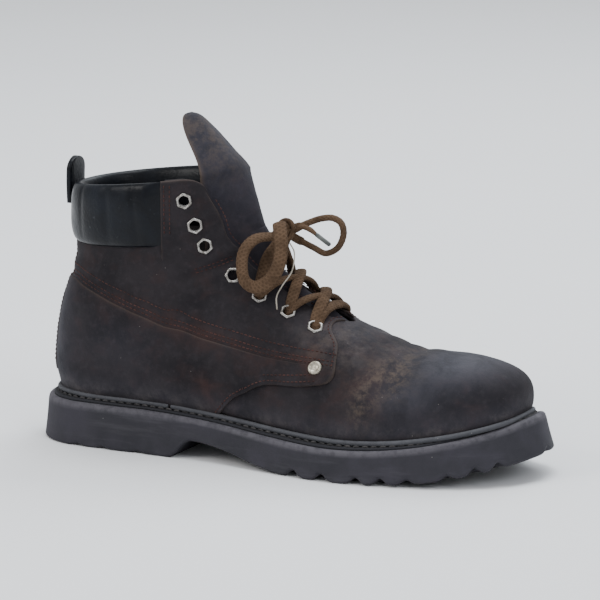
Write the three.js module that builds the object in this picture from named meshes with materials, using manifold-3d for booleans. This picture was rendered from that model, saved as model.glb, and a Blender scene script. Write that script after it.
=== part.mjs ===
// A worn lace-up work boot for the right foot, standing empty on its sole.
// Millimetres, +Z up. While it is built, x runs from the back of the sole to its toe, y from the
// wearer's outer side (negative) to the inner side, and z up from the floor. The group then moves
// all of it so that the origin lies under the middle of the sole.
import * as THREE from "three";
import { mergeVertices } from "three/addons/utils/BufferGeometryUtils.js";
import Module from "manifold-3d";

// ---------- driving dimensions ----------

const SOLE_LENGTH = 306;
const GAP = 0.3; // between neighbouring pieces
const WALL = 2.4; // leather and lining of the upper

const HEEL_HEIGHT = 25.2; // floor to the rim of the sole under the heel
const BALL_HEIGHT = 18.2; // and under the ball
const RIM_TOE_SPRING = 17.4; // how far the rim climbs to the toe
const TREAD_TOE_SPRING = 14.4;
const HEEL_BREAST = 97; // the front of the heel
const BREAST_RUN = 12; // its slope
const ARCH_HEIGHT = 10.8;
const BALL_START = 178; // the forefoot stands from here
const BALL_END = 215; // to here
const SIDE_FLARE = 0.092; // how far the side leans in for each millimetre up
const LUG_DEPTH = 3;
const LUG_GAP = 3.8;

const WELT_INSET = 4.4;
const WELT_TOP = 1.9; // above the rim
const BEAD_TOP = 4.4;
const BEAD_WIDTH = 2.5;

const SEAM_HEIGHT = 119.5; // the collar's lower seam
const COLLAR_FRONT = 89; // where the collar ends and the eyelet flap begins
const INSOLE_THICKNESS = 4;
const COUNTER_THICKNESS = 1.8;

const LACE_RADIUS = 2.2;
const LACE_LIFT = 4.7; // middle of the crossings above the leather
const THREAD_RADIUS = 0.8;
const AGLET_RADIUS = 1.1;

// The sole's outline, heel to toe: x, outer y, inner y.
const HEEL_BACK = [0, 0];
const TOE_TIP = [306, 14];
const OUTLINE = [
  [7, -23, 7, 23],
  [24, -37, 24, 37],
  [50, -40.5, 50, 39.5],
  [90, -41.5, 85, 37.5],
  [125, -43.5, 120, 39],
  [160, -50, 155, 44.5],
  [195, -55.5, 190, 52],
  [230, -53, 222, 56],
  [262, -43, 250, 54.5],
  [288, -25, 280, 47],
  [302, -3, 300, 33],
];

// The last, from the toe to the collar. Each section is a flat rounded loop that runs from a point
// on the front line (fx, fz) to a point under or behind the foot (ex, ez). They stand upright along
// the forefoot, fan round the heel and lie level at the collar. Then: half width to the outer side
// and to the inner side, middle line's y, share of the way down at which the loop is widest, and how
// square it is in front of that place and behind it.
const SECTIONS = [
  [295.2, 45.0, 295.2, 45.0, 0.0, 0.0, 10.5, 0.5, 2.2, 2.2],
  [293.6, 53.5, 293.6, 36.0, 14.0, 13.5, 10.5, 0.55, 2.2, 2.4],
  [289.0, 58.8, 289.0, 27.0, 24.0, 22.0, 10.0, 0.62, 2.2, 2.7],
  [281.5, 62.3, 281.5, 20.5, 32.0, 28.5, 9.5, 0.66, 2.2, 3.0],
  [270.5, 65.0, 270.0, 16.0, 39.0, 34.5, 8.5, 0.69, 2.2, 3.2],
  [256.0, 66.6, 255.0, 12.5, 44.5, 39.0, 7.5, 0.71, 2.2, 3.2],
  [240.0, 67.0, 238.0, 10.5, 48.5, 42.0, 6.5, 0.71, 2.15, 3.2],
  [224.0, 68.8, 220.0, 9.5, 50.5, 43.0, 5.5, 0.71, 2.1, 3.2],
  [207.0, 74.6, 201.0, 9.5, 50.5, 42.5, 4.5, 0.7, 2.0, 3.2],
  [191.5, 81.0, 181.0, 10.0, 48.0, 40.5, 3.5, 0.69, 1.95, 3.0],
  [177.0, 88.5, 158.0, 11.0, 44.5, 37.5, 2.5, 0.67, 1.9, 2.9],
  [164.0, 95.5, 134.0, 12.5, 41.0, 34.5, 2.0, 0.65, 1.9, 2.8],
  [153.5, 102.0, 108.0, 14.5, 38.5, 33.0, 1.5, 0.62, 1.9, 2.8],
  [146.0, 107.0, 80.0, 15.5, 37.5, 33.5, 1.0, 0.58, 1.95, 2.8],
  [141.5, 111.0, 50.0, 15.0, 37.0, 34.5, 0.5, 0.55, 2.0, 2.7],
  [139.0, 114.0, 20.0, 16.0, 36.5, 35.0, 0.0, 0.53, 2.05, 2.5],
  [137.0, 116.5, 7.0, 36.0, 36.0, 35.0, 0.0, 0.52, 2.1, 2.35],
  [135.5, 118.5, 7.0, 58.0, 36.0, 35.5, 0.0, 0.51, 2.1, 2.3],
  [134.0, 120.5, 11.2, 80.0, 36.0, 35.5, 0.0, 0.51, 2.1, 2.25],
  [132.5, 122.5, 17.6, 96.0, 36.5, 36.0, 0.0, 0.51, 2.1, 2.2],
  [131.0, 125.5, 20.0, 107.0, 36.5, 36.0, 0.0, 0.51, 2.1, 2.2],
  [129.0, 130.0, 21.0, 117.5, 37.0, 36.5, 0.0, 0.51, 2.15, 2.2],
  [125.0, 146.0, 21.5, 134.0, 38.0, 37.5, 0.0, 0.51, 2.2, 2.2],
  [121.0, 162.0, 22.0, 150.5, 39.0, 38.5, 0.0, 0.51, 2.25, 2.2],
];
const TOP = SECTIONS.length - 1; // the section number of the collar's edge

// The throat: section number and half width of the slit between the eyelet flaps.
const THROAT = [
  [8.95, 0.6],
  [9.1, 4.5],
  [9.4, 8],
  [9.8, 9.6],
  [11.1, 9.9],
  [13, 11.3],
  [14.8, 12.7],
  [18.3, 15.3],
  [21.5, 20.2],
  [22.3, 24.3],
  [22.7, 26.2],
  [22.9, 28.5],
  [23, 32],
];

// Eyelets from the top down, and the rivet: section number, and angle round the section.
const EYELETS = [
  [22.25, 0.98],
  [21.4, 0.91],
  [19.84, 0.85],
  [15.11, 0.62],
  [12.49, 0.6],
  [10.99, 0.55],
  [9.81, 0.52],
];
const LACED = [4, 5, 6]; // the eyelets, counted from the top, that the lace still goes through
const RIVET = [9.12, 0.99];

// The heel counter's edge as seen from the side: x, z.
const COUNTER_EDGE = [
  [-20, 98],
  [29, 95],
  [70, 81.5],
  [97, 74.5],
  [127, 67.5],
  [158, 62.5],
  [176, 60.5],
  [176, 52],
  [153, 48],
  [140, 41],
  [128, 30],
  [118, 0],
  [-20, 0],
];

// ---------- small helpers ----------

const wasm = await Module();
wasm.setup();

/** Value on a uniform Catmull-Rom curve through rows of numbers, at a row number that need not be whole. */
function along(rows, u) {
  const last = rows.length - 1;
  const i = Math.min(Math.max(Math.floor(u), 0), last - 1);
  const f = Math.min(Math.max(u - i, 0), 1);
  const b = rows[i];
  const c = rows[i + 1];
  const a = rows[i - 1] ?? b.map((v, k) => 2 * v - c[k]);
  const d = rows[i + 2] ?? c.map((v, k) => 2 * v - b[k]);
  return b.map((v, k) => {
    const slope = c[k] - a[k];
    const bend = 2 * a[k] - 5 * v + 4 * c[k] - d[k];
    const twist = -a[k] + 3 * v - 3 * c[k] + d[k];
    return 0.5 * (2 * v + slope * f + bend * f * f + twist * f * f * f);
  });
}

/** Straight-line look-up in a table of [x, y] rows. */
function lookUp(table, x) {
  const i = table.findIndex((row) => row[0] >= x);
  if (i === 0) return table[0][1];
  if (i < 0) return table[table.length - 1][1];
  const [x0, y0] = table[i - 1];
  const [x1, y1] = table[i];
  return y0 + ((y1 - y0) * (x - x0)) / (x1 - x0);
}

const smooth = (t) => t * t * (3 - 2 * t);
const share = (x, from, to) => Math.min(Math.max((x - from) / (to - from), 0), 1);
const range = (n) => Array.from({ length: n }, (_, i) => i);

/** A manifold solid from points and triangles. */
function solidFrom(points, triangles) {
  const vertProperties = new Float32Array(points.flatMap((p) => [p.x, p.y, p.z]));
  const triVerts = new Uint32Array(triangles.flat());
  const made = new wasm.Manifold(new wasm.Mesh({ numProp: 3, vertProperties, triVerts }));
  if (made.volume() >= 0) return made;
  const turned = new Uint32Array(triangles.flatMap(([a, b, c]) => [a, c, b]));
  return new wasm.Manifold(new wasm.Mesh({ numProp: 3, vertProperties, triVerts: turned }));
}

/** A closed skin over rings of equal length, shut at each end by a fan round a point. */
function loft(rings, first, last) {
  const n = rings[0].length;
  const points = rings.flat();
  const a = points.push(first ?? middle(rings[0])) - 1;
  const b = points.push(last ?? middle(rings[rings.length - 1])) - 1;
  const end = (rings.length - 1) * n;
  const triangles = [];
  for (let i = 0; i < n; i++) {
    const j = (i + 1) % n;
    triangles.push([a, j, i], [b, end + i, end + j]);
    for (let r = 0; r < end; r += n) {
      triangles.push([r + i, r + j, r + n + j], [r + i, r + n + j, r + n + i]);
    }
  }
  return solidFrom(points, triangles);
}

function middle(ring) {
  return ring.reduce((sum, p) => sum.add(p), new THREE.Vector3()).divideScalar(ring.length);
}

/** A three.js geometry as a manifold solid. */
function solidOf(geometry) {
  const bare = geometry.index ? geometry.toNonIndexed() : geometry.clone();
  bare.deleteAttribute("normal");
  bare.deleteAttribute("uv");
  const merged = mergeVertices(bare, 1e-3);
  const at = merged.attributes.position;
  const points = range(at.count).map((i) => new THREE.Vector3().fromBufferAttribute(at, i));
  const index = Array.from(merged.index.array);
  return solidFrom(points, range(index.length / 3).map((i) => index.slice(3 * i, 3 * i + 3)));
}

/** A manifold solid as a three.js geometry. */
function geometryOf(solid) {
  const mesh = solid.getMesh();
  const geometry = new THREE.BufferGeometry();
  geometry.setAttribute("position", new THREE.BufferAttribute(mesh.vertProperties.slice(), 3));
  geometry.setIndex(new THREE.BufferAttribute(mesh.triVerts.slice(), 1));
  const flat = geometry.toNonIndexed();
  flat.computeVertexNormals();
  return flat;
}

/** An outline drawn in x and z, carried across the whole width of the boot. */
function sidePrism(outline, halfWidth = 80) {
  const shape = new THREE.Shape(outline.map(([x, z]) => new THREE.Vector2(x, z)));
  const geometry = new THREE.ExtrudeGeometry(shape, { depth: 2 * halfWidth, bevelEnabled: false });
  geometry.rotateX(Math.PI / 2).translate(0, halfWidth, 0);
  return solidOf(geometry);
}

/** Everything between two heights that both depend on x. */
function slab(low, high, from = -20, to = SOLE_LENGTH + 20, extra = []) {
  const steps = 22;
  const stations = range(steps + 1).map((i) => from + ((to - from) * i) / steps);
  const xs = [...stations, ...extra].sort((p, q) => p - q);
  return sidePrism([...xs.map((x) => [x, low(x)]), ...xs.map((x) => [x, high(x)]).reverse()]);
}

// ---------- the sole's heights and outline ----------

function rimHeight(x) {
  const toBall = smooth(share(x, 70, 205));
  const toe = Math.max((x - 200) / 106, 0);
  return HEEL_HEIGHT + (BALL_HEIGHT - HEEL_HEIGHT) * toBall + RIM_TOE_SPRING * toe * toe;
}

function treadHeight(x) {
  const archStart = HEEL_BREAST + BREAST_RUN;
  const toe = Math.max((x - BALL_END) / (SOLE_LENGTH - BALL_END), 0);
  const up = share(x, HEEL_BREAST, archStart);
  const down = 1 - smooth(share(x, archStart, BALL_START));
  return ARCH_HEIGHT * up * down + TREAD_TOE_SPRING * toe * toe;
}

/** The sole's outline as points, one round trip from the heel along the outer side. */
function outlinePoints(perSpan = 4) {
  const outer = OUTLINE.map(([x, y]) => [x, y]);
  const inner = OUTLINE.map(([, , x, y]) => [x, y]).reverse();
  const keys = [HEEL_BACK, ...outer, TOE_TIP, ...inner];
  const n = keys.length;
  const wrapped = [keys[n - 1], ...keys, keys[0], keys[1]];
  return range(n * perSpan).map((i) => along(wrapped, 1 + i / perSpan));
}

/** The outline moved inward by a distance. */
function outlineInset(inset, perSpan) {
  const p = outlinePoints(perSpan);
  const n = p.length;
  return p.map(([x, y], i) => {
    const [ax, ay] = p[(i + n - 1) % n];
    const [bx, by] = p[(i + 1) % n];
    const long = Math.hypot(bx - ax, by - ay);
    return [x - (inset * (by - ay)) / long, y + (inset * (bx - ax)) / long];
  });
}

// ---------- the last's surface ----------

/** A point on the last: section number u, angle a round it (0 in front, positive to the inner side). */
function onLast(u, a) {
  const [fx, fz, ex, ez, outer, inner, midY, widest, front, back] = along(SECTIONS, u);
  const c = Math.cos(a);
  const s = Math.abs(Math.sin(a));
  const power = c > 0 ? front : back;
  const reach = (Math.abs(c) ** power + s ** power) ** (-1 / power);
  const down = c > 0 ? widest * (1 - reach * c) : widest - (1 - widest) * reach * c;
  const half = a > 0 ? inner : -outer;
  return new THREE.Vector3(fx + (ex - fx) * down, midY + half * reach * s, fz + (ez - fz) * down);
}

/** The direction straight out of the last at that point. */
function outward(u, a) {
  const e = 0.02;
  const lengthwise = onLast(Math.min(u + e, TOP), a).sub(onLast(Math.max(u - e, 0), a));
  const around = onLast(u, a + e).sub(onLast(u, a - e));
  return around.cross(lengthwise).normalize();
}

/** A point at a height above the last's surface. */
function above(u, a, height) {
  return onLast(u, a).addScaledVector(outward(u, a), height);
}

/** The whole last grown by a distance, closed at the toe and at the collar. */
function lastForm(growth, rows, columns, lift = 0) {
  const rings = range(rows).map((i) => {
    const u = TOP * (0.012 + 0.988 * (i / (rows - 1)) ** 0.92);
    return range(columns).map((j) => above(u, -Math.PI + (2 * Math.PI * j) / columns + 1e-4, growth));
  });
  if (lift > 0) rings.push(rings[rows - 1].map((p) => p.clone().setZ(p.z + lift)));
  const tip = onLast(0, 0).add(new THREE.Vector3(growth, 0, 0));
  return loft(rings, tip);
}

/** A box standing on the last, its local z straight out. */
function frameOnLast(u, a, height) {
  const z = outward(u, a);
  const y = onLast(u + 0.05, a).sub(onLast(u - 0.05, a)).normalize();
  const x = new THREE.Vector3().crossVectors(y, z).normalize();
  y.crossVectors(z, x);
  return new THREE.Matrix4().makeBasis(x, y, z).setPosition(above(u, a, height));
}

// ---------- the pieces ----------

const ROWS = 30;
const COLUMNS = 24;
const CORE_ROWS = 24;
const CORE_COLUMNS = 20;

const outerForm = lastForm(0, ROWS, COLUMNS);
const clearForm = lastForm(GAP, ROWS, COLUMNS);
const innerForm = lastForm(-WALL, CORE_ROWS, CORE_COLUMNS, 8);

function makeOutsole() {
  const foot = outlineInset(-2 * SIDE_FLARE).map(([x, y]) => new THREE.Vector3(x, y, -2));
  const head = outlineInset(45 * SIDE_FLARE).map(([x, y]) => new THREE.Vector3(x, y, 45));
  const corners = [HEEL_BREAST, HEEL_BREAST + BREAST_RUN];
  const body = loft([foot, head]).intersect(slab(treadHeight, rimHeight, -20, 326, corners));
  return lugCutters().reduce((sole, cutter) => sole.subtract(cutter), body);
}

/** Wedges that leave the lugs standing along the edge of the heel and of the forefoot. */
function lugCutters() {
  const points = outlinePoints(12);
  const n = points.length;
  const heel = [-0.06, -0.03, 0, 0.03, 0.06];
  const heelSide = [0.105, 0.145, 0.185, 0.225];
  const foreSide = [0.47, 0.51, 0.55, 0.59, 0.63, 0.67, 0.71, 0.755, 0.8, 0.85, 0.9];
  const rounds = [...heel, ...heelSide, ...foreSide].map((t) => t / 2);
  const both = [...rounds, ...[...heelSide, ...foreSide].map((t) => 1 - t / 2), 0.4775, 0.5225];
  return both.map((t) => {
    const i = Math.round(t * n + n) % n;
    const [x, y] = points[i];
    const [ax, ay] = points[(i + n - 1) % n];
    const [bx, by] = points[(i + 1) % n];
    const box = new THREE.BoxGeometry(LUG_GAP, 40, 2 * LUG_DEPTH);
    box.rotateZ(Math.atan2(by - ay, bx - ax));
    return solidOf(box.translate(x, y, treadHeight(x)));
  });
}

function makeWelt() {
  const strip = outlineInset(WELT_INSET, 3);
  const foot = strip.map(([x, y]) => new THREE.Vector3(x, y, 5));
  const head = strip.map(([x, y]) => new THREE.Vector3(x, y, 60));
  const ledge = loft([foot, head]).intersect(slab((x) => rimHeight(x) + GAP, (x) => rimHeight(x) + WELT_TOP));
  const ring = lastForm(BEAD_WIDTH, ROWS, COLUMNS);
  const bead = ring.intersect(slab((x) => rimHeight(x) + WELT_TOP - 1, (x) => rimHeight(x) + BEAD_TOP));
  return ledge.add(bead).subtract(clearForm);
}

function makeInsole() {
  const inside = lastForm(-WALL - GAP, CORE_ROWS, CORE_COLUMNS);
  return inside.intersect(slab((x) => rimHeight(x) + GAP, (x) => rimHeight(x) + GAP + INSOLE_THICKNESS));
}

function makeUpper() {
  const below = slab(() => -30, (x) => rimHeight(x) + GAP);
  const behindCollar = sidePrism([
    [-30, SEAM_HEIGHT],
    [COLLAR_FRONT, SEAM_HEIGHT],
    [COLLAR_FRONT, 200],
    [-30, 200],
  ]);
  return outerForm.subtract(innerForm).subtract(below).subtract(throatCutter()).subtract(behindCollar);
}

/** A blade that follows the front line and opens the slit between the flaps. */
function throatCutter() {
  const outside = 3;
  const inside = 16;
  const steps = 30;
  const start = THROAT[0][0];
  const rings = range(steps + 1).map((i) => {
    const u = i < 6 ? start + (i / 6) ** 2 * 0.85 : start + 0.85 + ((TOP - start - 0.85) * (i - 6)) / (steps - 6);
    return bladeRing(u, lookUp(THROAT, u), outside, inside);
  });
  const top = rings[rings.length - 1];
  rings.push(top.map((p) => p.clone().setZ(p.z + 10)));
  return loft(rings);
}

function bladeRing(u, half, outside, inside) {
  const [fx, fz, ex, ez, , , midY] = along(SECTIONS, u);
  const inward = new THREE.Vector3(ex - fx, 0, ez - fz).normalize();
  const front = new THREE.Vector3(fx, midY, fz);
  const corners = [
    [-half, -outside],
    [half, -outside],
    [half, inside],
    [-half, inside],
  ];
  return corners.map(([y, depth]) => {
    return front.clone().addScaledVector(inward, depth).add(new THREE.Vector3(0, y, 0));
  });
}

function makeCounter() {
  const shell = lastForm(GAP + COUNTER_THICKNESS, ROWS, COLUMNS).subtract(clearForm);
  const overWelt = slab((x) => rimHeight(x) + BEAD_TOP + GAP, () => 110, -20, 200);
  return shell.intersect(sidePrism(COUNTER_EDGE)).intersect(overWelt);
}

/** The padded collar: a fat rounded band from flap to flap round the back. */
function makeCollar() {
  const frontAngle = 1.2;
  const steps = 30;
  const around = 12;
  const rings = range(steps + 1).map((i) => {
    const a = frontAngle + (2 * (Math.PI - frontAngle) * i) / steps;
    const turned = a > Math.PI ? a - 2 * Math.PI : a;
    const toBack = share(Math.abs(turned), frontAngle, Math.PI);
    const low = TOP * (0.884 + 0.036 * toBack);
    return range(around).map((j) => {
      const t = (2 * Math.PI * (j + 0.5)) / around;
      const reach = (Math.abs(Math.cos(t)) ** 3 + Math.abs(Math.sin(t)) ** 3) ** (-1 / 3);
      const u = (low + TOP) / 2 + ((TOP - low) / 2) * reach * Math.cos(t);
      return above(u, turned, -0.4 + 4.4 * reach * Math.sin(t));
    });
  });
  const room = sidePrism([
    [-30, SEAM_HEIGHT + GAP],
    [COLLAR_FRONT - GAP, SEAM_HEIGHT + GAP],
    [COLLAR_FRONT - GAP, 200],
    [-30, 200],
  ]);
  return loft(rings).intersect(room);
}

function makeBackTab() {
  const half = 9;
  const low = 136;
  const high = 163;
  const shape = new THREE.Shape();
  shape.moveTo(-half, low);
  shape.lineTo(half, low);
  shape.lineTo(half, high - half);
  shape.absarc(0, high - half, half, 0, Math.PI);
  shape.lineTo(-half, low);
  const geometry = new THREE.ExtrudeGeometry(shape, { depth: 3, bevelEnabled: false, curveSegments: 5 });
  geometry.rotateX(Math.PI / 2).rotateZ(Math.PI / 2).translate(14, 0, 0);
  return geometry;
}

/** The tongue: it lies inside the throat, swells forward at the ankle and stands above the collar. */
function makeTongue() {
  const thickness = 3;
  const columns = 10;
  const start = 8.2;
  const rows = 16;
  // section number, height of the middle above the last, reach to each side as an angle
  const lie = [
    [8.2, -3.6, 0.5],
    [10, -3.6, 0.62],
    [12, -3.4, 0.72],
    [13.2, -1.5, 0.76],
    [14.5, 2, 0.8],
    [16, 6, 0.84],
    [18.5, 9, 0.88],
    [21, 9, 0.87],
    [23, 7.5, 0.82],
  ];
  const height = lie.map(([u, h]) => [u, h]);
  const spread = lie.map(([u, , a]) => [u, a]);
  const rowAt = (u) => {
    const reach = lookUp(spread, u);
    const slit = Math.asin(Math.min(lookUp(THROAT, u) / 40, 0.9)) * 0.95;
    return range(columns + 1).map((j) => {
      const a = reach * ((2 * j) / columns - 1) + 1e-4;
      const crown = Math.cos((Math.PI / 2) * Math.min(Math.abs(a) / slit, 1)) ** 2;
      const h = -3.6 + (lookUp(height, u) + 3.6) * crown;
      return [above(u, a, h), above(u, a, h - thickness)];
    });
  };
  const loop = (row) => [...row.map((p) => p[0]), ...row.map((p) => p[1]).reverse()];
  const rings = range(rows + 1).map((i) => loop(rowAt(start + ((TOP - start) * i) / rows)));
  // The free end: the last ring carried on along its own path, narrower and higher on the outer side.
  const root = rings[rows];
  const centre = middle(root);
  const freeEnd = [
    [-1.8, 5, 0.96],
    [-4.6, 10, 0.88],
    [-8.2, 15, 0.77],
    [-12, 19, 0.6],
    [-15, 22, 0.36],
  ];
  for (const [dx, dz, scale] of freeEnd) {
    rings.push(
      root.map((p) => {
        const out = p.clone().sub(centre);
        const tilt = (-0.4 * out.y * dz) / 22;
        const depth = scale < 0.7 ? 0.8 : 1;
        return new THREE.Vector3(centre.x + dx + out.x * scale * depth, out.y * scale, centre.z + dz + out.z * scale + tilt);
      }),
    );
  }
  return loft(rings);
}

function eyeletGeometry() {
  const shape = new THREE.Shape(range(6).map((i) => polar(5, (i * Math.PI) / 3)));
  shape.holes.push(new THREE.Path(range(10).map((i) => polar(2.8, (-i * Math.PI) / 5))));
  return new THREE.ExtrudeGeometry(shape, { depth: 1.2, bevelEnabled: false });
}

function polar(radius, angle) {
  return new THREE.Vector2(radius * Math.cos(angle), radius * Math.sin(angle));
}

function rivetGeometry() {
  const profile = [
    [0, 0],
    [3.6, 0],
    [4, 0.7],
    [3.2, 1.7],
    [0, 2],
  ];
  const geometry = new THREE.LatheGeometry(profile.map(([r, h]) => new THREE.Vector2(r, h)), 16);
  return geometry.rotateX(Math.PI / 2);
}

/** A tube along points, eight-sided. */
function tube(points, radius, steps, closed = false) {
  const path = new THREE.CatmullRomCurve3(points, closed);
  const shape = new THREE.Shape(range(8).map((i) => polar(radius, (i * Math.PI) / 4)));
  return new THREE.ExtrudeGeometry(shape, { steps, extrudePath: path, bevelEnabled: false });
}

/** A strand that runs over the leather and the slit from one eyelet to another. */
function strand([u0, a0], [u1, a1]) {
  const steps = 8;
  const points = range(steps + 1).map((i) => {
    const t = i / steps;
    return above(u0 + (u1 - u0) * t, a0 + (a1 - a0) * t + 1e-4, LACE_LIFT);
  });
  return solidOf(tube(points, LACE_RADIUS, 5));
}

function makeCrossings() {
  const [five, six, seven] = LACED.map((i) => EYELETS[i]);
  const outer = ([u, a]) => [u, -a];
  const pieces = [
    strand(outer(seven), seven),
    strand(outer(seven), six),
    strand(seven, outer(six)),
    strand(outer(six), five),
    strand(six, outer(five)),
    risingStrand(-1),
    risingStrand(1),
  ];
  return pieces.reduce((all, piece) => all.add(piece));
}

/** From the upper laced eyelet, over the swelling tongue, to the underside of the knot. */
function risingStrand(side) {
  const [u, a] = EYELETS[LACED[0]];
  const stops = [
    [u, a, LACE_LIFT],
    [13.2, 0.42, 6.2],
    [14.2, 0.24, 7.6],
    [15.2, 0.1, 9.8],
    [16.2, 0.02, 12],
  ];
  const points = stops.map(([row, angle, lift]) => above(row, side * angle + 1e-4, lift));
  return solidOf(tube(points, LACE_RADIUS, 5));
}

// The bow: x, y, z by hand. The knot sits on the tongue, one loop hangs over the outer flap, the
// other stands forward, and one end with its aglet lies inside that loop.
const KNOT = [151.5, -2, 129.5];
const KNOT_RADII = [5.5, 7.5, 5.5];
const NEAR_LOOP = [
  [151.5, -10.5, 134],
  [154, -17, 135.5],
  [157.5, -23, 131],
  [159.5, -26, 123],
  [158.5, -27.5, 114],
  [153.5, -28.5, 105.5],
  [145.5, -29, 101],
  [138.5, -29, 104],
  [136, -28, 113],
  [137, -26, 121.5],
  [141, -20, 127],
  [147, -11, 127.5],
];
const FAR_LOOP = [
  [157.5, 3, 132],
  [163, 5, 134.6],
  [169, 7, 136.8],
  [175, 9, 137.3],
  [180, 10, 134.5],
  [181.5, 10, 128],
  [178.5, 9, 120.5],
  [172, 7, 117],
  [165.5, 5, 120],
  [158.5, 3, 123.5],
];
const LACE_END = [
  [158.5, -5, 131],
  [163, -6, 133.5],
  [168, -6.5, 132.5],
  [172, -6.5, 130],
];
const AGLET = [
  [172.4, -6.5, 129.75],
  [180, -6.5, 125],
];
const LOOSE_THREAD = [
  [157, -9, 124],
  [163.5, -17, 120],
  [164.5, -22, 111],
  [160, -24.5, 103],
  [156.5, -25, 96],
  [157, -25.5, 89],
];

function point([x, y, z]) {
  return new THREE.Vector3(x, y, z);
}

function knotGeometry() {
  const ball = new THREE.SphereGeometry(1, 10, 7);
  return ball.scale(...KNOT_RADII).translate(...KNOT);
}

// ---------- materials and assembly ----------

function finish(colour, roughness, metalness = 0) {
  return new THREE.MeshStandardMaterial({ color: colour, roughness, metalness });
}

const LEATHER = [0x3b2c2a, 0.85];
const RUBBER = [0x403c41, 0.8];
const STEEL = [0xa8a49c, 0.35, 0.9];
const LACE = [0x66503a, 0.95];

const boot = new THREE.Group();

function add(name, geometry, look) {
  const mesh = new THREE.Mesh(geometry, finish(...look));
  mesh.name = name;
  boot.add(mesh);
  return mesh;
}

const outsole = add("outsole", geometryOf(makeOutsole()), RUBBER);
add("welt", geometryOf(makeWelt()), [0x2a2a2e, 0.6]);
add("insole", geometryOf(makeInsole()), [0x2b2622, 0.95]);
add("upper", geometryOf(makeUpper()), LEATHER);
add("heel_counter", geometryOf(makeCounter()), LEATHER);
add("collar", geometryOf(makeCollar()), [0x14161c, 0.5]);
add("back_tab", makeBackTab(), [0x1b1a1d, 0.7]);
add("tongue", geometryOf(makeTongue()), LEATHER);

for (const [side, sign] of [["outer", -1], ["inner", 1]]) {
  EYELETS.forEach(([u, a], i) => {
    const eyelet = add(`eyelet_${side}_${i + 1}`, eyeletGeometry(), STEEL);
    eyelet.applyMatrix4(frameOnLast(u, sign * a, GAP + 0.3));
  });
  const rivet = add(`rivet_${side}`, rivetGeometry(), STEEL);
  rivet.applyMatrix4(frameOnLast(RIVET[0], sign * RIVET[1], GAP + 0.3));
}

add("lace_crossings", geometryOf(makeCrossings()), LACE);
add("lace_knot", knotGeometry(), LACE);
add("lace_loop_near", tube(NEAR_LOOP.map(point), LACE_RADIUS, 18), LACE);
add("lace_loop_far", tube(FAR_LOOP.map(point), LACE_RADIUS, 14), LACE);
add("lace_end", tube(LACE_END.map(point), LACE_RADIUS, 4), LACE);
add("lace_aglet", tube(AGLET.map(point), AGLET_RADIUS, 3), [0x6a6a66, 0.5]);
add("lace_thread", tube(LOOSE_THREAD.map(point), THREAD_RADIUS, 12), [0x9a9184, 0.95]);

// The sole is the widest piece, so its box places the whole boot.
const ground = new THREE.Box3().setFromObject(outsole);
boot.position.set(-(ground.min.x + ground.max.x) / 2, -(ground.min.y + ground.max.y) / 2, -ground.min.z);

export default boot;
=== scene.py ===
"""A worn lace-up work boot for the right foot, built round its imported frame.

Shapes are worked out in millimetres in the boot's own frame: x from the back of the sole to its toe,
y from the wearer's outer side (negative) to the inner side, z up from the floor. make_piece moves
them into the frame's metres. Every surface is a function of two parameters on a grid.
"""

import math

import bmesh
import bpy
import numpy as np
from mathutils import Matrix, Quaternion, Vector


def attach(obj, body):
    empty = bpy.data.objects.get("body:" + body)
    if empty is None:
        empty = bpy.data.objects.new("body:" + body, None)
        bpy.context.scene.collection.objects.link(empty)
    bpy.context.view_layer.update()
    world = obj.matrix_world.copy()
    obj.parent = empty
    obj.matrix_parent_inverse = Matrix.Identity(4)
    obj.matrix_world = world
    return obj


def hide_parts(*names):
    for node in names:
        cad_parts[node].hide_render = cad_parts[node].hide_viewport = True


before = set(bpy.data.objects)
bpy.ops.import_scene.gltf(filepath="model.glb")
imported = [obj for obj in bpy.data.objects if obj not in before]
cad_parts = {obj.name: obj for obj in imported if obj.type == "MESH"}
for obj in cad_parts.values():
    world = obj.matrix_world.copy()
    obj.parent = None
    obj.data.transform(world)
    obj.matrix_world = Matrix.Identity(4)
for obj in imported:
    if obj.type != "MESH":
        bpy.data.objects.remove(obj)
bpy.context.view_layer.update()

# ---------- driving sizes, in millimetres ----------

ORIGIN = np.array([152.44, 0.25, 0.0])  # the frame's origin: under the middle of the sole
SOLE_LENGTH = 306.0
WALL = 2.4
HEEL_HEIGHT = 25.2
BALL_HEIGHT = 18.2
RIM_TOE_SPRING = 17.4
RIM_SPRING_START = 200.0
RIM_FALL = (70.0, 205.0)  # where the rim starts and ends its fall from heel to ball
TREAD_TOE_SPRING = 14.4
HEEL_BREAST = 97.0
BREAST_RUN = 12.0
ARCH_HEIGHT = 10.8
BALL_START = 178.0
BALL_END = 215.0
SIDE_FLARE = 0.092
COLLAR_FRONT = 89.0
COLLAR_END_ANGLE = 1.13
WELT_INSET = 4.4
QUARTER_LIFT = 1.2  # thickness of each layer of leather
COUNTER_LIFT = 2.0
FLAP_LIFT = 2.2
FLAP_UNDERSIDE = 0.6
LACE_WIDTH = 6.8
LACE_THICKNESS = 3.6
LACE_END_WIDTH = 4.4
BRAID_PITCH = 2.4
BRAID_STRANDS = 6

# The sole's outline, heel to toe: x, outer y, x, inner y.
HEEL_BACK = [0, 0]
TOE_TIP = [306, 14]
OUTLINE = [
    [7, -23, 7, 23],
    [24, -37, 24, 37],
    [50, -40.5, 50, 39.5],
    [90, -41.5, 85, 37.5],
    [125, -43.5, 120, 39],
    [160, -50, 155, 44.5],
    [195, -55.5, 190, 52],
    [230, -53, 222, 56],
    [262, -43, 250, 54.5],
    [288, -25, 280, 47],
    [302, -3, 300, 33],
]

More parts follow.
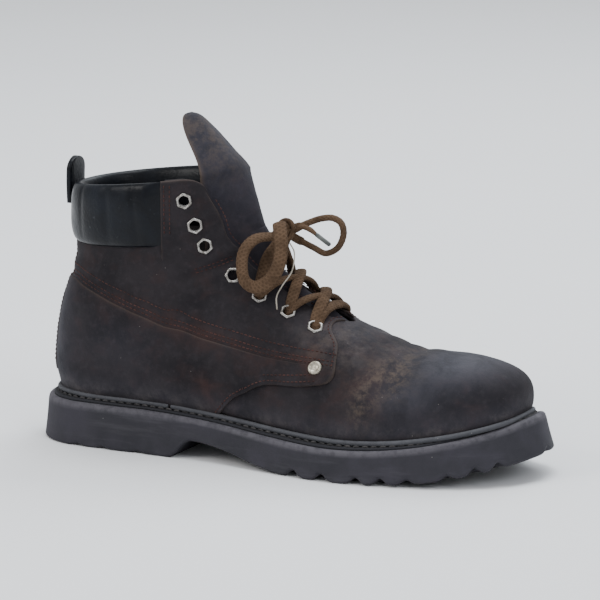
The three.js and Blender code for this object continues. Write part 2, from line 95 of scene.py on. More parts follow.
# The last, from the toe to the collar. Each section is a flat rounded loop from a point on the front
# line (x, z) to a point under or behind the foot (x, z). Then: half width to the outer side and to the
# inner side, middle line's y, share of the way down at which the loop is widest, and how square it is
# in front of that place and behind it.
SECTIONS = np.array([
    [295.2, 45.0, 295.2, 45.0, 0.0, 0.0, 10.5, 0.5, 2.2, 2.2],
    [293.6, 53.5, 293.6, 36.0, 14.0, 13.5, 10.5, 0.55, 2.2, 2.4],
    [289.0, 58.8, 289.0, 27.0, 24.0, 22.0, 10.0, 0.62, 2.2, 2.7],
    [281.5, 62.3, 281.5, 20.5, 32.0, 28.5, 9.5, 0.66, 2.2, 3.0],
    [270.5, 65.0, 270.0, 16.0, 39.0, 34.5, 8.5, 0.69, 2.2, 3.2],
    [256.0, 66.6, 255.0, 12.5, 44.5, 39.0, 7.5, 0.71, 2.2, 3.2],
    [240.0, 67.0, 238.0, 10.5, 48.5, 42.0, 6.5, 0.71, 2.15, 3.2],
    [224.0, 68.8, 220.0, 9.5, 50.5, 43.0, 5.5, 0.71, 2.1, 3.2],
    [207.0, 74.6, 201.0, 9.5, 50.5, 42.5, 4.5, 0.7, 2.0, 3.2],
    [191.5, 81.0, 181.0, 10.0, 48.0, 40.5, 3.5, 0.69, 1.95, 3.0],
    [177.0, 88.5, 158.0, 11.0, 44.5, 37.5, 2.5, 0.67, 1.9, 2.9],
    [164.0, 95.5, 134.0, 12.5, 41.0, 34.5, 2.0, 0.65, 1.9, 2.8],
    [153.5, 102.0, 108.0, 14.5, 38.5, 33.0, 1.5, 0.62, 1.9, 2.8],
    [146.0, 107.0, 80.0, 15.5, 37.5, 33.5, 1.0, 0.58, 1.95, 2.8],
    [141.5, 111.0, 50.0, 15.0, 37.0, 34.5, 0.5, 0.55, 2.0, 2.7],
    [139.0, 114.0, 20.0, 16.0, 36.5, 35.0, 0.0, 0.53, 2.05, 2.5],
    [137.0, 116.5, 7.0, 36.0, 36.0, 35.0, 0.0, 0.52, 2.1, 2.35],
    [135.5, 118.5, 7.0, 58.0, 36.0, 35.5, 0.0, 0.51, 2.1, 2.3],
    [134.0, 120.5, 11.2, 80.0, 36.0, 35.5, 0.0, 0.51, 2.1, 2.25],
    [132.5, 122.5, 17.6, 96.0, 36.5, 36.0, 0.0, 0.51, 2.1, 2.2],
    [131.0, 125.5, 20.0, 107.0, 36.5, 36.0, 0.0, 0.51, 2.1, 2.2],
    [129.0, 130.0, 21.0, 117.5, 37.0, 36.5, 0.0, 0.51, 2.15, 2.2],
    [125.0, 146.0, 21.5, 134.0, 38.0, 37.5, 0.0, 0.51, 2.2, 2.2],
    [121.0, 162.0, 22.0, 150.5, 39.0, 38.5, 0.0, 0.51, 2.25, 2.2],
])
TOP = len(SECTIONS) - 1.0

# The throat: section number and half width of the slit between the eyelet flaps.
THROAT = np.array([
    [8.95, 0.6],
    [9.1, 4.5],
    [9.4, 8],
    [9.8, 9.6],
    [11.1, 9.9],
    [13, 11.3],
    [14.8, 12.7],
    [18.3, 15.3],
    [21.5, 20.2],
    [22.3, 24.3],
    [22.7, 26.2],
    [22.9, 28.5],
    [23, 32],
])
THROAT_START = 8.95

# Eyelets from the top down, and the rivet: section number, and angle round the section.
EYELETS = [
    (22.25, 0.98),
    (21.4, 0.91),
    (19.84, 0.85),
    (15.11, 0.62),
    (12.49, 0.6),
    (10.99, 0.55),
    (9.81, 0.52),
]
EYELET_HOLE = 3.6  # radius
LACED = (4, 5, 6)  # which of the eyelets hold the lace
RIVET = (9.12, 0.99)
SIDES = {"outer": -1.0, "inner": 1.0}

# ---------- numbers ----------


def smooth(t):
    """The smooth step: three t squared less two t cubed."""
    return t * t * (3 - 2 * t)


def share(x, low, high):
    """How far x has gone from low to high, kept from 0 to 1."""
    return np.clip((np.asarray(x, float) - low) / (high - low), 0, 1)


def along(rows, u):
    """Uniform Catmull-Rom curve through rows of numbers, at row numbers u that need not be whole."""
    rows = np.asarray(rows, float)
    u = np.asarray(u, float)
    last = len(rows) - 1
    i = np.clip(np.floor(u).astype(int), 0, last - 1)
    f = np.clip(u - i, 0, 1)[..., None]
    padded = np.vstack([2 * rows[0] - rows[1], rows, 2 * rows[-1] - rows[-2]])
    a, b, c, d = padded[i], padded[i + 1], padded[i + 2], padded[i + 3]
    bend = 2 * a - 5 * b + 4 * c - d
    twist = -a + 3 * b - 3 * c + d
    return 0.5 * (2 * b + (c - a) * f + bend * f * f + twist * f**3)


def run_along(points):
    """How far along a polyline each of its points lies."""
    return np.concatenate([[0], np.cumsum(np.linalg.norm(np.diff(points, axis=0), axis=1))])


def evenly(points, count, closed=False):
    """A polyline cut again into count points at even steps of its own length."""
    points = np.asarray(points, float)
    if closed:
        points = np.vstack([points, points[:1]])
    run = run_along(points)
    at = np.linspace(0, run[-1], count + 1)[:-1] if closed else np.linspace(0, run[-1], count)
    return np.stack([np.interp(at, run, points[:, k]) for k in range(points.shape[1])], -1)


def curve(points, count, closed=False):
    """A smooth curve through given points, as count points evenly spaced along it."""
    points = np.asarray(points, float)
    n = len(points)
    if closed:
        points = np.vstack([points[-1], points, points[:2]])
        fine = along(points, np.linspace(1, n + 1, 40 * n + 1))[:-1]
        return evenly(fine, count, closed=True)
    return evenly(along(points, np.linspace(0, n - 1, 40 * n)), count)


def length_of(points):
    """The length of a polyline: the sum of its steps."""
    return float(np.linalg.norm(np.diff(points, axis=0), axis=1).sum())


def unit(v):
    """Each vector divided by its own length."""
    return v / np.maximum(np.linalg.norm(v, axis=-1, keepdims=True), 1e-9)


def bell(distance, width):
    """A bell: the exponential of minus the square of distance over width."""
    return np.exp(-((distance / width) ** 2))


def rounded_square(turn, power):
    """How far a rounded square of half width 1 reaches in each direction: the sum of the cosine's and
    the sine's sizes, each to the power, to minus one over the power."""
    return (np.abs(np.cos(turn)) ** power + np.abs(np.sin(turn)) ** power) ** (-1 / power)


def ripple(points, wavelength, seed, count=9):
    """A soft uneven field from -1 to 1: sines of count random directions, summed and averaged."""
    rng = np.random.default_rng(seed)
    waves = unit(rng.normal(size=(count, 3))) * (2 * np.pi / wavelength)
    waves *= rng.uniform(0.6, 1.5, (count, 1))
    phase = rng.uniform(0, 2 * np.pi, count)
    return np.sin(points @ waves.T + phase).sum(-1) / count**0.5 / 1.6


# ---------- the sole's heights and outline ----------


def rim_height(x):
    """Floor to the sole's rim: level at the heel, a smooth fall to the ball, a square rise at the toe."""
    x = np.asarray(x, float)
    toe = np.maximum((x - RIM_SPRING_START) / (SOLE_LENGTH - RIM_SPRING_START), 0)
    fall = (BALL_HEIGHT - HEEL_HEIGHT) * smooth(share(x, *RIM_FALL))
    return HEEL_HEIGHT + fall + RIM_TOE_SPRING * toe**2


def tread_height(x):
    """Floor to the tread: flat heel, breast, arch that falls smoothly to the ball, a rise at the toe."""
    x = np.asarray(x, float)
    start = HEEL_BREAST + BREAST_RUN
    toe = np.maximum((x - BALL_END) / (SOLE_LENGTH - BALL_END), 0)
    up = smooth(share(x, HEEL_BREAST - 1, start + 1))
    return ARCH_HEIGHT * up * (1 - smooth(share(x, start, BALL_START))) + TREAD_TOE_SPRING * toe**2


def sole_outline(count):
    """The sole's outline as count even points, from the heel's back along the outer side."""
    outer = [[row[0], row[1]] for row in OUTLINE]
    inner = [[row[2], row[3]] for row in OUTLINE][::-1]
    return curve([HEEL_BACK, *outer, TOE_TIP, *inner], count, closed=True)


def inset(loop, distance):
    """A closed flat loop moved inward by a distance, square to its own run."""
    step = np.roll(loop, -1, 0) - np.roll(loop, 1, 0)
    step = unit(step[:, :2])
    moved = loop.copy()
    moved[:, 0] -= distance * step[:, 1]
    moved[:, 1] += distance * step[:, 0]
    return moved


# ---------- the last's surface ----------


def on_last(u, a):
    """The last's point at section u and angle a: the section's straight line from front to back, with
    a rounded square swung round it. The angle is 0 in front, half a turn behind, and the inner side
    is positive; past half a turn it goes on round the other side."""
    u, a = np.broadcast_arrays(np.asarray(u, float), np.asarray(a, float))
    a = np.where(a > np.pi, a - 2 * np.pi, a)
    row = along(SECTIONS, u)
    c = np.cos(a)
    s = np.abs(np.sin(a))
    power = np.where(c > 0, row[..., 8], row[..., 9])
    reach = (np.abs(c) ** power + s**power) ** (-1 / power)
    widest = row[..., 7]
    down = np.where(c > 0, widest * (1 - reach * c), widest - (1 - widest) * reach * c)
    half = np.where(a > 0, row[..., 5], -row[..., 4])
    x = row[..., 0] + (row[..., 2] - row[..., 0]) * down
    z = row[..., 1] + (row[..., 3] - row[..., 1]) * down
    return np.stack([x, row[..., 6] + half * reach * s, z], -1)


def outward(u, a):
    """The direction straight out of the last: the step round it crossed with the step along it."""
    e = 0.02
    lengthwise = on_last(np.minimum(u + e, TOP), a) - on_last(np.maximum(u - e, 0.001), a)
    around = on_last(u, a + e) - on_last(u, a - e)
    return unit(np.cross(around, lengthwise))


def above(u, a, height):
    """The point a height straight out of the last."""
    height = np.asarray(height, float)
    return on_last(u, a) + outward(u, a) * height[..., None]


def solve(test, low, high, steps=34):
    """Where test falls from above 0 to below it between two numbers, by halving, for all places that
    test answers for."""
    low = np.array(low, float)
    high = np.array(high, float)
    for _ in range(steps):
        middle = (low + high) / 2
        over = test(middle) > 0
        low = np.where(over, middle, low)
        high = np.where(over, high, middle)
    return (low + high) / 2


def over_rim(u, a, height):
    """How far a point of the last lies over the line at a height above the rim."""
    p = on_last(u, a)
    return p[..., 2] - rim_height(p[..., 0]) - height


def lowest_angle(u, height):
    """The angle at which each section comes down to a height above the rim, or half a turn."""
    u = np.asarray(u, float)
    return solve(lambda a: over_rim(u, a, height), 0.9, np.pi)


def throat_angle(u, extra=0.0):
    """The angle at which each section is as wide as the throat's slit, and 0 below the throat."""
    u = np.asarray(u, float)
    half = np.interp(u, THROAT[:, 0], THROAT[:, 1]) + extra
    middle = along(SECTIONS, u)[..., 6]
    found = solve(lambda a: half - (on_last(u, a)[..., 1] - middle), 0, 1.5)
    return np.where(u < THROAT_START, 0.0, found)


def angle_at(u, x):
    """The angle at which each section passes a distance x from the heel's back."""
    u = np.asarray(u, float)
    return solve(lambda a: on_last(u, a)[..., 0] - x, 0, np.pi)


def level_line(height, count):
    """The closed line on the last at a height above the rim, as count even points from the back of the
    heel along the outer side: three stretches solved for their own slow parameter, then evened."""
    toe_end, heel_start = 3.0, 11.5
    middle_u = np.linspace(toe_end, heel_start, 160)
    middle_a = lowest_angle(middle_u, height)
    heel_a = np.linspace(middle_a[-1], np.pi, 90)[1:]
    heel_u = solve(lambda u: -over_rim(u, heel_a, height), heel_start, 17.5)
    toe_a = np.linspace(np.pi, middle_a[0], 90)[:-1]
    toe_u = solve(lambda u: over_rim(u, toe_a, height), 0.2, toe_end + 0.2)
    half_u = np.concatenate([toe_u, middle_u, heel_u])
    half_a = np.concatenate([toe_a, middle_a, heel_a])
    outer = np.stack([half_u, -half_a], -1)[::-1]
    inner = np.stack([half_u, half_a], -1)
    loop = np.vstack([outer, inner[1:-1]])
    return evenly(on_last(loop[:, 0], loop[:, 1]), count, closed=True)


# ---------- soft folds in the leather ----------

# Each fold: the points it runs through as (section, angle), its half width and its depth, both in
# millimetres. A positive depth is a trough with a soft ridge on each side, a negative one a ridge.
FLEX_FOLDS = [
    ([(7.2, 0.15), (7.15, 0.6), (7.3, 1.0), (7.9, 1.35)], 4.2, 0.9),
    ([(6.5, -0.3), (6.55, -0.7), (6.7, -1.1), (7.2, -1.4)], 4.6, 1.0),
    ([(6.55, -0.45), (6.5, 0.1), (6.6, 0.55), (6.9, 1.1)], 4.0, 0.8),
    ([(7.8, -0.55), (7.6, -0.9), (7.9, -1.2)], 3.2, 0.7),
    ([(8.1, 0.1), (7.7, 0.5), (7.8, 0.9)], 3.2, 0.7),
    ([(8.0, -0.1), (7.4, -0.3), (7.2, -0.55)], 3.0, 0.6),
]
ANKLE_FOLDS = [
    ([(17.05, 1.15), (17.0, 0.93), (17.0, 0.7), (17.15, 0.46)], 2.3, 1.7),
    ([(20.3, 1.34), (19.5, 1.24), (18.9, 1.1)], 2.0, 0.9),
    ([(15.3, 1.5), (15.0, 1.2), (14.2, 0.9)], 3.6, 0.7),
    ([(19.3, 1.5), (18.9, 1.25), (18.6, 1.0)], 2.8, 0.6),
    ([(13.8, 1.25), (13.2, 0.95), (12.9, 0.75)], 3.0, 0.5),
    ([(20.2, 2.9), (19.9, 2.4), (19.7, 1.9)], 3.6, 0.8),
    ([(19.2, 3.0), (19.0, 2.6), (18.9, 2.2)], 3.0, 0.5),
]


def fold_depth(points, line, width, depth):
    """How far one fold lowers each point: a bell of the distance to its line, less a lower bell on each
    side at twice its half width, all fading toward the line's two ends."""
    near = np.full(points.shape[:-1], 1e9)
    where = np.zeros(points.shape[:-1])
    count = len(line) - 1
    for i, (p, q) in enumerate(zip(line[:-1], line[1:])):
        t = np.clip(((points - p) @ (q - p)) / ((q - p) @ (q - p)), 0, 1)
        d = np.linalg.norm(points - (p + t[..., None] * (q - p)), axis=-1)
        closer = d < near
        near = np.where(closer, d, near)
        where = np.where(closer, (i + t) / count, where)
    fade = np.sqrt(np.clip(np.sin(np.pi * where), 0, 1))
    return depth * fade * (bell(near, width) - 0.42 * bell(near - 2.0 * width, width))


def folds_at(points):
    """The leather's height change from all its folds, and from the slack of worn leather."""
    total = 0.22 * ripple(points, 34, seed=5) + 0.1 * ripple(points, 13, seed=6)
    for side in SIDES.values():
        for line, width, depth in ANKLE_FOLDS:
            path = curve(line, 12)
            total = total - fold_depth(points, on_last(path[:, 0], side * path[:, 1]), width, depth)
    for line, width, depth in FLEX_FOLDS:
        path = curve(line, 12)
        total = total - fold_depth(points, on_last(path[:, 0], path[:, 1]), width, depth)
    return total


def base_height(u, a):
    """The vamp layer's height above the last: 0 along the vamp, a little under it below the quarters
    and at the back of the heel, so that the layers over it come out at the last's own size, plus the
    folds."""
    points = on_last(u, a)
    back = -1.3 * bell(points[..., 0] - 8, 13) * share(points[..., 2], 122, 105)
    return -1.0 * smooth(share(u, 7.4, 11.5)) + back + folds_at(points)


# ---------- meshes ----------


def grid_faces(rows, columns, first=0, closed=False):
    """Four-cornered faces of a grid of points numbered row by row; closed joins its last column on."""
    r = np.arange(rows - 1)[:, None]
    c = np.arange(columns if closed else columns - 1)[None, :]
    n = (c + 1) % columns
    a = first + r * columns + c
    b = first + r * columns + n
    return np.stack([a, b, b + columns, a + columns], -1).reshape(-1, 4)


def placed(name, data):
    """An object of mesh, lamp or camera data, put in the scene."""
    thing = bpy.data.objects.new(name, data)
    bpy.context.scene.collection.objects.link(thing)
    return thing


def make_piece(name, points, faces, materials, face_material=None, weld=True, uv=None, values=None):
    """One mesh piece from points in millimetres and four-cornered faces, riding on the boot. Doubled
    points are merged and the faces turned outward."""
    mesh = bpy.data.meshes.new(name)
    mesh.vertices.add(len(points))
    mesh.vertices.foreach_set("co", ((points - ORIGIN) / 1000).astype(np.float32).ravel())
    mesh.loops.add(4 * len(faces))
    mesh.loops.foreach_set("vertex_index", faces.astype(np.int32).ravel())
    mesh.polygons.add(len(faces))
    mesh.polygons.foreach_set("loop_start", np.arange(0, 4 * len(faces), 4, dtype=np.int32))
    if face_material is not None:
        mesh.polygons.foreach_set("material_index", face_material.astype(np.int32))
    mesh.update(calc_edges=True)
    if uv is not None:
        layer = mesh.uv_layers.new(name="UVMap")
        layer.data.foreach_set("uv", uv.reshape(-1, 2).astype(np.float32).ravel())
    for key, value in (values or {}).items():
        attribute = mesh.attributes.new(key, "FLOAT", "POINT")
        attribute.data.foreach_set("value", value.astype(np.float32).ravel())
    if weld:
        work = bmesh.new()
        work.from_mesh(mesh)
        bmesh.ops.remove_doubles(work, verts=work.verts, dist=2e-6)
        bmesh.ops.recalc_face_normals(work, faces=work.faces)
        work.to_mesh(mesh)
        work.free()
    mesh.validate()
    mesh.polygons.foreach_set("use_smooth", np.ones(len(mesh.polygons), bool))
    for material in materials:
        mesh.materials.append(material)
    piece = placed(name, mesh)
    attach(piece, "root")
    return piece


def ring_piece(name, rings, material, **facts):
    """One piece from rings of points, each ring joined to the next all the way round."""
    rings = np.asarray(rings)
    faces = grid_faces(*rings.shape[:2], closed=True)
    return make_piece(name, rings.reshape(-1, 3), faces, [material], **facts)


def closed_ends(rings):
    """Rings with one more at each end, drawn in to the middle of the end ring, so that it is closed."""
    first = np.repeat(rings[:1].mean(1, keepdims=True), rings.shape[1], 1)
    last = np.repeat(rings[-1:].mean(1, keepdims=True), rings.shape[1], 1)
    return np.vstack([first, rings, last])


def thick_sheet(outer, inner, strips=("first", "last", "left", "right")):
    """Points and faces of a closed sheet: two grids of the same shape, joined along their borders.
    strips names the borders to join, or gives for one a mask of its steps. The last value returned is
    0 for faces of the outer grid, 1 for those of the inner grid and 2 for the borders."""
    rows, columns = outer.shape[:2]
    points = np.vstack([outer.reshape(-1, 3), inner.reshape(-1, 3)])
    top = grid_faces(rows, columns)
    under = grid_faces(rows, columns, rows * columns)[:, ::-1]
    index = np.arange(rows * columns).reshape(rows, columns)
    lines = {
        "first": index[0, :],
        "last": index[-1, ::-1],
        "left": index[::-1, 0],
        "right": index[:, -1],
    }
    joined = [top, under]
    for strip in strips:
        key, mask = strip if isinstance(strip, tuple) else (strip, None)
        line = lines[key]
        face = np.stack([line[1:], line[:-1], line[:-1] + rows * columns, line[1:] + rows * columns], -1)
        joined.append(face if mask is None else face[mask])
    kinds = np.concatenate([np.full(len(f), min(i, 2)) for i, f in enumerate(joined)])
    return points, np.vstack(joined), kinds


def eyelet_axes():
    """Every eyelet's middle on the last and its direction out."""
    u = np.array([e[0] for e in EYELETS] * 2)
    a = np.array([side * e[1] for side in SIDES.values() for e in EYELETS])
    return on_last(u, a), outward(u, a)


def punched(points, faces, kinds):
    """The faces left after a round hole is punched at each eyelet."""
    centre = points[faces].mean(1)
    keep = np.ones(len(faces), bool)
    for middle, out in zip(*eyelet_axes()):
        d = centre - middle
        deep = d @ out
        wide = np.linalg.norm(d - deep[:, None] * out, axis=1)
        keep &= (wide > EYELET_HOLE) | (np.abs(deep) > 7)
    return faces[keep], kinds[keep]


# ---------- materials ----------


class Nodes:
    """A material's node tree, with short calls for the nodes that these finishes use."""

    def __init__(self, name, roughness=0.8, metallic=0.0, specular=0.5, sheen=0.0):
        """A new material with its shader's plain numbers."""
        self.material = bpy.data.materials.new(name)
        self.material.use_nodes = True
        self.tree = self.material.node_tree
        self.shader = self.tree.nodes["Principled BSDF"]
        for key, number in (
            ("Roughness", roughness),
            ("Metallic", metallic),
            ("Specular IOR Level", specular),
            ("Sheen Weight", sheen),
            ("Sheen Roughness", 0.6),
        ):
            self.shader.inputs[key].default_value = number
        coordinates = self.tree.nodes.new("ShaderNodeTexCoord")
        self.place = coordinates.outputs["Object"]
        self.uv = coordinates.outputs["UV"]

    def made(self, kind, inputs, **settings):
        """A new node with its settings, and each of its inputs set to a number or wired to a socket."""
        node = self.tree.nodes.new("ShaderNode" + kind)
        for key, setting in settings.items():
            setattr(node, key, setting)
        for key, source in inputs.items():
            if isinstance(source, bpy.types.NodeSocket):
                self.tree.links.new(source, node.inputs[key])
            else:
                node.inputs[key].default_value = source
        return node.outputs

    def noise(self, scale, detail=4.0, roughness=0.55, vector=None, distortion=0.0):
        """Fractal noise, in the piece's own place unless a vector is given."""
        inputs = {"Scale": scale, "Detail": detail, "Roughness": roughness, "Distortion": distortion}
        return self.made("TexNoise", {**inputs, "Vector": vector or self.place})["Fac"]

    def cells(self, scale, feature="F1", vector=None):
        """The distance to the middle of the nearest random cell, or another feature of the cells."""
        inputs = {"Scale": scale, "Vector": vector or self.place}
        return self.made("TexVoronoi", inputs, feature=feature)["Distance"]

    def waves(self, scale, direction):
        """Sine bands square to one axis of the piece's own place."""
        inputs = {"Scale": scale, "Vector": self.place}
        return self.made("TexWave", inputs, bands_direction=direction)["Fac"]

    def stretched(self, scale, vector=None, turn=(0, 0, 0)):
        """A place scaled along each axis and turned, for a texture that runs one way."""
        inputs = {"Scale": scale, "Rotation": turn, "Vector": vector or self.place}
        return self.made("Mapping", inputs)["Vector"]

    def value(self, name):
        """A value that the piece's own points carry, and 0 where they carry none."""
        return self.made("Attribute", {}, attribute_name=name)["Fac"]

    def ramp(self, source, low, high, start=0.0, end=1.0):
        """source from low to high becomes a value from start to end, held past both."""
        inputs = {"Value": source, "From Min": low, "From Max": high, "To Min": start, "To Max": end}
        return self.made("MapRange", inputs, interpolation_type="SMOOTHSTEP")["Result"]

    def times(self, a, b, operation="MULTIPLY"):
        """The product of two values, or another operation on them; either may be a number."""
        return self.made("Math", {0: a, 1: b}, operation=operation)["Value"]

    def mix(self, amount, a, b):
        """Colour a changed to colour b by an amount; either may be three numbers or a socket."""
        a, b = ((*colour, 1) if isinstance(colour, tuple) else colour for colour in (a, b))
        return self.made("Mix", {0: amount, 6: a, 7: b}, data_type="RGBA")[2]

    def bumps(self, layers):
        """Bump layers, each (height source, depth in metres, strength), one over the other."""
        under = {}
        for source, depth, strength in layers:
            inputs = {"Distance": depth, "Strength": strength, "Height": source, **under}
            under = {"Normal": self.made("Bump", inputs)["Normal"]}
        self.tree.links.new(under["Normal"], self.shader.inputs["Normal"])

    def finish(self, colour, roughness=None):
        """The shader's colour, and its roughness where that varies; returns the material."""
        self.tree.links.new(colour, self.shader.inputs["Base Color"])
        if roughness is not None:
            self.tree.links.new(roughness, self.shader.inputs["Roughness"])
        return self.material


def nubuck_leather(name, dark, mid, red, red_amount):
    """Oiled nubuck: dark and mid brown in soft patches, redder where the nap is worn, smoother where it
    has been rubbed and there given a painted blue-grey sheen, tan where scuffed ("scuff"), pale dust in
    specks, a raw lighter edge ("edge"), and painted shade, near black, where "dark" is set."""
    n = Nodes(name, roughness=0.85, specular=0.22)
    cloud = n.noise(26, 5, 0.6)
    blotch = n.noise(75, 5, 0.65, distortion=0.4)
    nap = n.noise(900, 3, 0.7)
    fine = n.noise(260, 4, 0.7)
    colour = n.mix(n.ramp(cloud, 0.36, 0.66), dark, mid)
    colour = n.mix(n.times(n.ramp(blotch, 0.46, 0.7), red_amount), colour, red)
    colour = n.mix(n.times(n.ramp(fine, 0.45, 0.8), 0.4), colour, tuple(1.9 * c for c in mid))
    colour = n.mix(n.times(n.value("redness"), n.ramp(blotch, 0.3, 0.62)), colour, red)
    # painted sheen: where the leather is rubbed smooth, a blue-grey reflection is laid into its colour; the
    # lower roughness is the real wear
    wear_and_painted_sheen = n.times(n.value("wear_and_painted_sheen"), n.ramp(blotch, 0.25, 0.62, 0.45, 1.0))
    colour = n.mix(wear_and_painted_sheen, colour, (0.044, 0.045, 0.061))
    dust = n.times(n.value("dust"), n.ramp(n.noise(60, 6, 0.7), 0.42, 0.7))
    colour = n.mix(dust, colour, (0.125, 0.108, 0.106))
    scuff = n.times(n.value("scuff"), n.ramp(n.noise(140, 6, 0.75), 0.4, 0.66))
    colour = n.mix(scuff, colour, (0.096, 0.071, 0.055))
    colour = n.mix(n.value("edge"), colour, (0.11, 0.08, 0.064))
    # painted shade: near black where "dark" is set
    colour = n.mix(n.value("dark"), colour, (0.008, 0.006, 0.007))
    speck = n.ramp(n.cells(310), 0.1, 0.02)
    sparse = n.times(speck, n.ramp(n.noise(120, 2, 0.5), 0.58, 0.68))
    colour = n.mix(n.times(sparse, 0.55), colour, (0.3, 0.27, 0.25))
    rough = n.ramp(n.times(n.value("wear_and_painted_sheen"), n.ramp(blotch, 0.2, 0.6, 0.5, 1.0)), 0, 1, 0.86, 0.46)
    n.bumps([(blotch, 0.0007, 0.5), (fine, 0.00035, 0.6), (nap, 0.00018, 0.55)])
    return n.finish(colour, rough)


def smooth_leather(name, colour, worn, scale=1.0):
    """Smooth black collar leather: fine pebbles, shallow cracks and paler rubbed patches."""
    n = Nodes(name, roughness=0.3, specular=0.18)
    cloud = n.noise(40 * scale, 5, 0.6)
    pebble = n.cells(620 * scale, "SMOOTH_F1")
    crack = n.ramp(n.cells(150 * scale, "DISTANCE_TO_EDGE", n.stretched((1, 1, 0.45))), 0.0, 0.05)
    base = n.mix(n.ramp(cloud, 0.4, 0.72), colour, worn)
    base = n.mix(n.times(n.ramp(n.noise(420, 4, 0.7), 0.62, 0.72), 0.2), base, (0.1, 0.11, 0.12))
    rough = n.ramp(cloud, 0.3, 0.75, 0.27, 0.45)
    n.bumps([(crack, 0.0003, 0.1), (pebble, 0.0002, 0.4), (n.noise(1500, 3, 0.6), 0.0001, 0.4)])
    return n.finish(base, rough)


def sole_rubber(name, dark, dusty, edge):
    """Moulded rubber: cloudy dust over a dark ground, faint flow lines, pits, a paler band where "edge"
    is set (on the sole's rim rubbed wear with painted highlight, on the bead's top painted highlight),
    and painted shade, near black, where "dark" is set.
    """
    n = Nodes(name, roughness=0.75, specular=0.35)
    cloud = n.noise(34, 6, 0.62)
    streak = n.noise(60, 5, 0.6, n.stretched((0.35, 0.35, 3.2)))
    pits = n.ramp(n.cells(260), 0.05, 0.14)
    colour = n.mix(n.ramp(cloud, 0.34, 0.68), dark, dusty)
    colour = n.mix(n.times(n.ramp(streak, 0.5, 0.75), 0.22), colour, edge)
    # paler band: rubbed wear with painted highlight on the sole's rim, painted highlight on the bead's top
    rubbed = n.times(n.value("edge"), n.ramp(n.noise(180, 4, 0.7), 0.3, 0.62, 0.35, 1.0))
    colour = n.mix(rubbed, colour, edge)
    # painted shade: near black where "dark" is set
    colour = n.mix(n.value("dark"), colour, (0.012, 0.011, 0.012))
    speck = n.times(n.ramp(n.cells(240), 0.09, 0.02), n.ramp(n.noise(90, 2, 0.5), 0.56, 0.66))
    colour = n.mix(n.times(speck, 0.5), colour, (0.32, 0.3, 0.28))
    rough = n.ramp(cloud, 0.3, 0.7, 0.62, 0.88)
    n.bumps([(streak, 0.0006, 0.22), (pits, 0.0003, 0.25), (n.noise(700, 4, 0.7), 0.0002, 0.5)])
    return n.finish(colour, rough)


def braided_lace(name, dark, light):
    """Braid: light on its ribs ("rib") and dark in its hollows, a painted shade that follows its relief,
    with fine fibres along it from the cord's own map, x along it and y round it, grime in clouds and
    stray paler fibres."""
    n = Nodes(name, roughness=0.95, specular=0.12)
    rib = n.times(n.value("rib"), n.noise(9, 3, 0.7, n.stretched((1.0, 9.0, 1), n.uv)))
    grime = n.noise(90, 5, 0.65)
    fibre = n.noise(1200, 4, 0.8)
    # painted shade: darker in the braid's hollows than on its ribs
    colour = n.mix(n.ramp(rib, 0.1, 0.6, 0.3, 1.0), dark, light)
    colour = n.mix(n.times(n.ramp(grime, 0.42, 0.68), 0.6), colour, tuple(0.8 * c for c in dark))
    colour = n.mix(n.times(n.ramp(fibre, 0.6, 0.8), 0.4), colour, tuple(1.7 * c for c in light))
    n.bumps([(rib, 0.0006, 0.7), (fibre, 0.0002, 0.6)])
    return n.finish(colour)


def woven_cloth(name, dark, light):
    """Plain weave: two crossed sets of fine ribs, faded in clouds."""
    n = Nodes(name, roughness=0.95, specular=0.15, sheen=0.1)
    rib = n.times(n.waves(150, "X"), n.waves(150, "Z"), "MAXIMUM")
    cloud = n.noise(45, 5, 0.65)
    colour = n.mix(n.ramp(cloud, 0.35, 0.7), dark, light)
    n.bumps([(rib, 0.0003, 0.5), (n.noise(600, 3, 0.6), 0.0003, 0.4)])
    return n.finish(colour)


def twisted_thread(name, dark, light):
    """Spun thread: cloudy grime and fine paler fibres."""
    n = Nodes(name, roughness=0.85, specular=0.25)
    strand = n.noise(1500, 3, 0.7)
    colour = n.mix(n.ramp(n.noise(160, 4, 0.6), 0.35, 0.68), dark, light)
    colour = n.mix(n.times(n.ramp(strand, 0.55, 0.8), 0.5), colour, tuple(1.5 * c for c in light))
    n.bumps([(strand, 0.0002, 0.6)])
    return n.finish(colour)


def worn_metal(name, bright, tarnish, roughness):
    """Plated metal with fine scratches and dull tarnish in clouds."""
    n = Nodes(name, roughness=roughness, metallic=0.9)
    cloud = n.noise(520, 5, 0.7)
    scratch = n.noise(900, 3, 0.6, n.stretched((1, 6, 1), turn=(0.3, 0.5, 0.8)))
    colour = n.mix(n.ramp(cloud, 0.4, 0.7), bright, tarnish)
    rough = n.ramp(cloud, 0.3, 0.72, roughness - 0.08, roughness + 0.3)
    n.bumps([(scratch, 0.0001, 0.35), (cloud, 0.0001, 0.3)])
    return n.finish(colour, rough)


LEATHER = nubuck_leather(
    "nubuck", (0.0082, 0.0069, 0.0088), (0.019, 0.0158, 0.018), (0.036, 0.0175, 0.0152), 0.3
)
TONGUE_LEATHER = nubuck_leather(
    "tongue_leather", (0.0095, 0.0088, 0.0125), (0.021, 0.0188, 0.0245), (0.036, 0.021, 0.02), 0.3
)
COLLAR_LEATHER = smooth_leather("collar_leather", (0.0018, 0.0022, 0.0038), (0.005, 0.0068, 0.011))
LINING = woven_cloth("lining", (0.014, 0.012, 0.013), (0.032, 0.027, 0.026))
INSOLE_CLOTH = woven_cloth("insole_cloth", (0.02, 0.017, 0.016), (0.045, 0.037, 0.032))
RUBBER = sole_rubber("sole_rubber", (0.0135, 0.0128, 0.018), (0.033, 0.0305, 0.039), (0.09, 0.084, 0.096))
